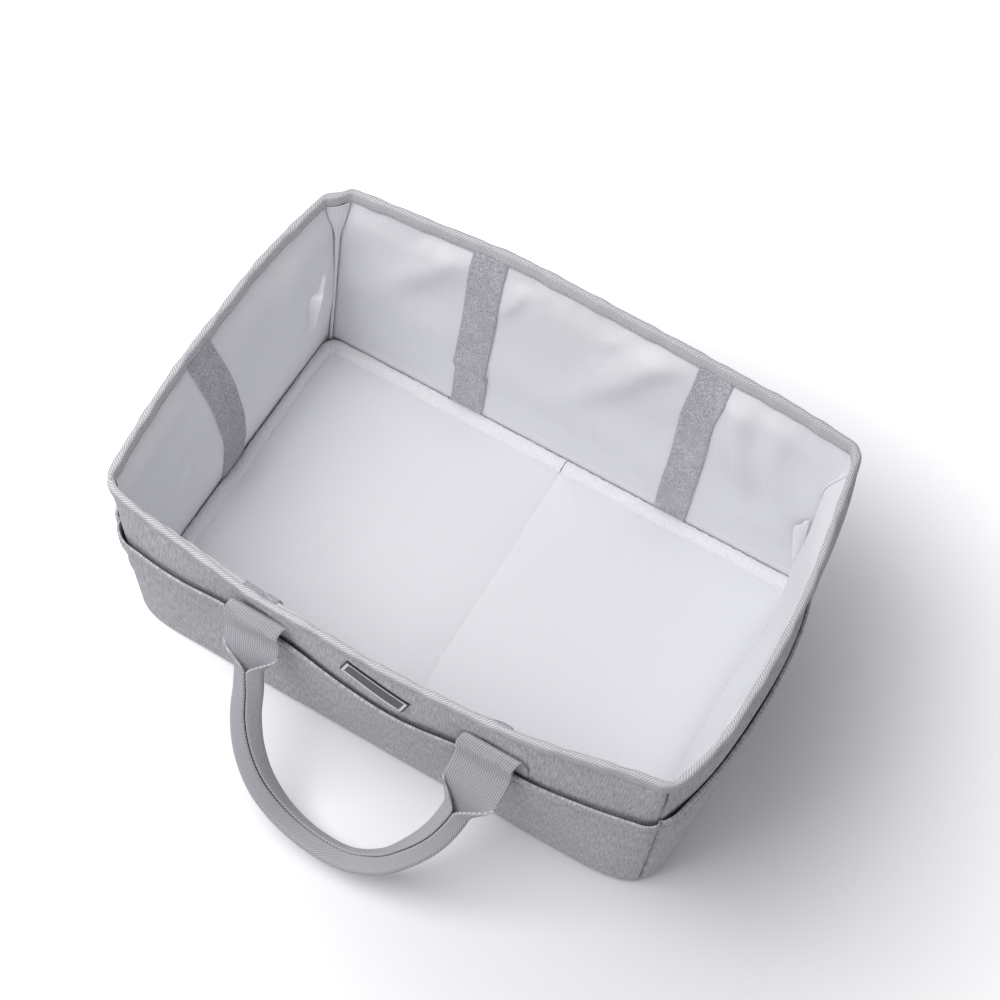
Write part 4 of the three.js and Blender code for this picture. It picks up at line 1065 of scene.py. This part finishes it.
# Smooth white polyester cover, calendered and bonded to thin foam: a fine diagonal weave with soft sheen.
pad_cover, tree, shader = finish_of("white_pad_cover", 0.62, Sheen_Weight=0.1, Sheen_Roughness=0.4)
pad_place = add(tree, "ShaderNodeTexCoord").outputs["Object"]
turned_weave = add(tree, "ShaderNodeMapping", {"Vector": pad_place, "Rotation": (0, 0, math.radians(40))})
cover_weave = add(tree, "ShaderNodeTexWave", {
    "Vector": turned_weave.outputs[0], "Scale": band_scale(1.3), "Distortion": 2.0,
    "Detail": 2.0}).outputs["Fac"]
coloured(tree, shader, cover_weave, "#e3e3e7", "#e9e9ec", cover_weave, strength=0.1, depth=0.12)

# White terry: cotton loops that stand in all directions, so it is dull and a little rough.
white_terry, tree, shader = finish_of("white_terry", 0.95, Sheen_Weight=0.3, Sheen_Roughness=0.6)
terry_place = add(tree, "ShaderNodeTexCoord").outputs["Object"]
terry = add(tree, "ShaderNodeTexNoise", {
    "Vector": terry_place, "Scale": 1 / (1.8 * MM), "Detail": 3.0, "Roughness": 0.65}).outputs["Fac"]
coloured(tree, shader, terry, "#dfdfe4", "#f8f8fa", terry, strength=0.6, depth=0.6)


def pad_edge(side):
    """The free edge of one half of the mat with the mat at its left, its inward directions and its run."""
    turn_round = -1 if side == "left" else 1
    reach = PAD_REACH[side]
    points = [(FOLD_HALF_GAP, -PAD_HALF_DEPTH)]
    for way, radius, start in ((-1, PAD_RADII[side][0], -90), (1, PAD_RADII[side][1], 0)):
        for angle in (math.radians(start + a) for a in np.linspace(0, 90, 10)):
            points.append((reach - radius + radius * math.cos(angle),
                           way * (PAD_HALF_DEPTH - radius) + radius * math.sin(angle)))
    points.append((FOLD_HALF_GAP, PAD_HALF_DEPTH))
    points = np.array(points)
    run = run_along(points)
    at = np.linspace(0, run[-1], 320)
    even = np.stack([np.interp(at, run, points[:, k]) for k in (0, 1)], axis=1) * turn_round
    heading = headings(even)
    return even, np.stack([-heading[:, 1], heading[:, 0]], axis=1), at


def pad_grid(side, inset, level_inside, level_edge):
    """A flat layer of one half of the mat inside its edge, lower at the rim than within."""
    reach, half_depth = PAD_REACH[side] - inset, PAD_HALF_DEPTH - inset
    step_in = np.array((0, 0.8, 2.2, 4.5))
    inner_x = np.linspace(FOLD_HALF_GAP + 9, reach - 9, PAD_COLUMNS)
    x = np.concatenate([FOLD_HALF_GAP + step_in, inner_x, (reach - step_in)[::-1]])
    inner_share = np.linspace(-1 + 9 / half_depth, 1 - 9 / half_depth, PAD_ROWS)
    edge_share = step_in / half_depth
    share = np.concatenate([-1 + edge_share, inner_share, (1 - edge_share)[::-1]])[:, None]
    into = []
    for radius in (max(radius - inset, 3) for radius in PAD_RADII[side]):
        beyond = np.clip(x - reach + radius, 0, radius)
        into.append(radius - np.sqrt(np.clip(radius**2 - beyond**2, 0, None)))
    low, high = -half_depth + into[0], half_depth - into[1]
    y = low + (high - low) * (share + 1) / 2
    near = np.minimum(np.minimum(x - x[0], x[-1] - x), np.minimum(share + 1, 1 - share) * half_depth)
    rounded = np.sqrt(np.clip(1 - (1 - np.clip(near / step_in[-1], 0, 1)) ** 2, 0, 1))
    level = level_edge + (level_inside - level_edge) * rounded
    grid = np.stack([np.broadcast_to(x, y.shape), y, level], axis=2)
    if side == "left":
        grid = (grid * np.array((-1, -1, 1)))[::-1, ::-1]
    return grid


def puffed(piece, held, cap):
    """Blows a sewn pad up with cloth simulation, holding some points and capping how far the rest move."""
    sewn = piece.vertex_groups.new(name="sewn")
    sewn.add(held, 1.0, "REPLACE")
    rest = np.array([vertex.co for vertex in piece.data.vertices])
    cloth = piece.modifiers.new("puff", "CLOTH")
    cloth.settings.vertex_group_mass = "sewn"
    cloth.settings.mass = 0.2
    cloth.settings.use_pressure = True
    cloth.settings.uniform_pressure_force = PUFF_PRESSURE
    cloth.settings.effector_weights.gravity = 0.0
    for step in range(1, PUFF_FRAMES + 1):
        scene.frame_set(step)
    blown = piece.evaluated_get(bpy.context.evaluated_depsgraph_get()).to_mesh()
    move = np.array([vertex.co for vertex in blown.vertices]) - rest
    length = np.linalg.norm(move, axis=1, keepdims=True)
    limit = cap * MM
    move *= np.where(length > 1e-9, limit * np.tanh(length / limit) / np.maximum(length, 1e-9), 0)
    piece.modifiers.remove(cloth)
    piece.vertex_groups.remove(sewn)
    piece.data.vertices.foreach_set("co", (rest + move).ravel())
    scene.frame_set(1)


def laid_flat(name, top, under, crease=40):
    """A closed piece of the mat's cover between an upper and an under side."""
    return woven(name, doubled(top, under), both_sides(top[:, :, :2]), pad_cover, crease=crease)


welt_section = np.array(((0.4, 2.7), (-0.2, 5.0), (0.2, 8.4), (1.7, 10.7), (4.2, 11.6),
                         (6.6, 11.2), (8.2, 10.1), (8.8, 8.2), (8.6, 5.5), (8.2, 2.8)))
pad_rows = {}
for side in ("left", "right"):
    body = f"base_{side}"
    sheet_top = pad_grid(side, WELT_WIDTH - 0.8, 3.3, 3.0)
    sheet_under = sheet_top.copy()
    sheet_under[:, :, 2] = 2.6
    under_sheet = laid_flat(f"mat_underside_{side}", sheet_top, sheet_under)
    fit(under_sheet, body, "insert_cover", f"base_sheet_{side}")

    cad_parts[f"base_board_{side}"].data.materials[0] = grey_board

    top = pad_grid(side, WELT_WIDTH - 1.0, CUSHION_EDGE, 8.0)
    foot = top.copy()
    foot[:, :, 2] = CUSHION_FOOT
    cushion = laid_flat(f"mat_cushion_{side}", top, foot, crease=80)
    rows, columns = top.shape[:2]
    is_held = np.ones((2 * rows, columns), bool)
    is_held[1:rows - 1, 1:-1] = False
    puffed(cushion, np.flatnonzero(is_held).tolist(), CUSHION_CAP)
    fit(cushion, body, "insert_cover", f"base_cushion_{side}")

    edge, inside, run = pad_edge(side)
    lumps = 1 + 0.04 * ripple(run[None], np.arange(len(welt_section))[:, None] * 3.0, 9, 71)
    broad = 1 + 0.35 * np.maximum(
        eased(-edge[:, 0], 175, 195) * eased(-edge[:, 1], -110, 90), eased(edge[:, 1], 90, 116))
    offsets = (4.4 + (welt_section[:, :1] - 4.4) * lumps) * broad
    heights = 7 + (welt_section[:, 1:] - 7) * lumps
    across = edge[None] + inside[None] * offsets[:, :, None]
    welt_loops = np.concatenate([across, heights[:, :, None]], axis=2)
    around = np.append(run_along(welt_section), WELT_ROUND)
    welt_weave = np.stack(np.meshgrid(run, around), axis=2)
    welt = woven(f"mat_welt_{side}", welt_loops, welt_weave, white_terry, crease=80)
    fit(welt, body, "insert_cover", f"base_border_{side}")
    welt_pile = pile_on(welt, 0, f"mat_welt_pile_{side}", Density=0.46e6, Loop_Size=0.5 * MM, Seed=20,
                        Pile_Material=white_terry)
    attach(welt_pile, body)
    inner_edge = edge + inside * (WELT_WIDTH * broad + 1.6)[:, None]
    pad_rows[side] = [np.column_stack([inner_edge, np.full(len(inner_edge), 10.2)])]

fold_y = np.linspace(-115, 115, 60)
fold_x = np.array((-2.2, -1.6, -1.1, -0.7, -0.3, 0, 0.3, 0.7, 1.1, 1.6, 2.2))
fold_z = np.array((7.7, 8.1, 8.2, 8.2, 8.0, 7.9, 8.0, 8.2, 8.2, 8.1, 7.7))
fold_grid = np.meshgrid(fold_x, fold_y)
fold_top = np.stack([*fold_grid, np.broadcast_to(fold_z, fold_grid[0].shape)], axis=2)
fold_cover = laid_flat("mat_fold_cover", fold_top, fold_top - np.array((0, 0, FOLD_COVER)), crease=70)
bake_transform(fold_cover)


# Stitches: lockstitch rows along the hems, the binding, the tapes and the mat. Each stitch is a short
# plump length of polyester thread, sunk at its ends.
STITCH_PITCH, STITCH_LENGTH, STITCH_WIDTH = 3.0, 2.4, 0.42

# Spun polyester sewing thread, grey on the box and white on the mat, slightly hairy and so quite dull.
threads = {}
for name, dark, light in (("grey", "#a3a2a7", "#bfbec3"), ("white", "#e6e6ea", "#f4f4f6")):
    threads[name], tree, shader = finish_of(f"{name}_polyester_thread", 0.75, Sheen_Weight=0.2)
    hair = add(tree, "ShaderNodeTexNoise", {
        "Vector": add(tree, "ShaderNodeTexCoord").outputs["Object"], "Scale": 1 / (0.8 * MM), "Detail": 2.0})
    coloured(tree, shader, hair.outputs["Fac"], dark, light)

stitch_tree, stitch_in = growing_tree(
    "stitch_rows", Pitch="Float", Length="Float", Width="Float", Thread="Material")
sewn_lines = add(stitch_tree, "GeometryNodeMeshToCurve", {"Mesh": stitch_in["Geometry"]})
stitch_places = add(stitch_tree, "GeometryNodeResampleCurve", {
    "Curve": sewn_lines.outputs[0], "Length": stitch_in["Pitch"]}, mode="LENGTH")
stitch_heading = add(stitch_tree, "FunctionNodeAlignRotationToVector", {
    "Vector": add(stitch_tree, "GeometryNodeInputTangent").outputs[0]}, axis="X")
stitch_size = add(stitch_tree, "ShaderNodeCombineXYZ", {
    "X": stitch_in["Length"], "Y": stitch_in["Width"], "Z": stitch_in["Width"]})
stitch_body = add(stitch_tree, "GeometryNodeMeshUVSphere", {"Segments": 6, "Rings": 4, "Radius": 0.5})
stitch_turned = add(stitch_tree, "GeometryNodeTransform", {
    "Geometry": stitch_body.outputs[0], "Rotation": (0, math.pi / 2, 0)})
stitch_smooth = add(stitch_tree, "GeometryNodeSetShadeSmooth", {"Geometry": stitch_turned.outputs[0]})
stitches = add(stitch_tree, "GeometryNodeInstanceOnPoints", {
    "Points": stitch_places.outputs[0], "Instance": stitch_smooth.outputs[0],
    "Rotation": stitch_heading.outputs[0], "Scale": stitch_size.outputs[0]})
given_out(stitch_tree, stitches, stitch_in["Thread"])


def sewn(name, rows, thread, body, slot):
    """Stitches along some lines of points, all of one thread and on one body."""
    mesh = bpy.data.meshes.new(name)
    first, points, edges = 0, [], []
    for row in rows:
        points += (np.asarray(row) * MM).tolist()
        edges += [(first + k, first + k + 1) for k in range(len(row) - 1)]
        first += len(row)
    mesh.from_pydata(points, edges, [])
    piece = grown_from(stitch_tree, mesh, name, Pitch=STITCH_PITCH * MM, Length=STITCH_LENGTH * MM,
                       Width=STITCH_WIDTH * MM, Thread=threads[thread])
    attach(piece, body)


hem_rows = []
for number, wall in enumerate(WALLS):
    levels = np.array((MOUTH - HEM_DEPTH + 1.8,))
    face, hem, _ = pocket_face(number, wall, levels)
    hem_rows.append(wall_layer(wall, levels, face + CLOTH + hem + 0.12)[0])
binding_rows = {}
for face, out in (("outside", BINDING_OUT + 0.15), ("inside", BINDING_IN - 0.15)):
    form, outward = box_form([low + 2.2])
    ring = form[0] + outward[0] * out
    binding_rows[face] = np.concatenate([ring, ring[:1]])
sewn("outside_stitches", hem_rows + [binding_rows["outside"]], "grey", "caddy", "outer_cloth")
sewn("inside_stitches", inside_rows + [binding_rows["inside"]], "grey", "caddy", "loop_tape")
for side in ("left", "right"):
    sewn(f"mat_stitches_{side}", pad_rows[side], "white", f"base_{side}", "insert_cover")
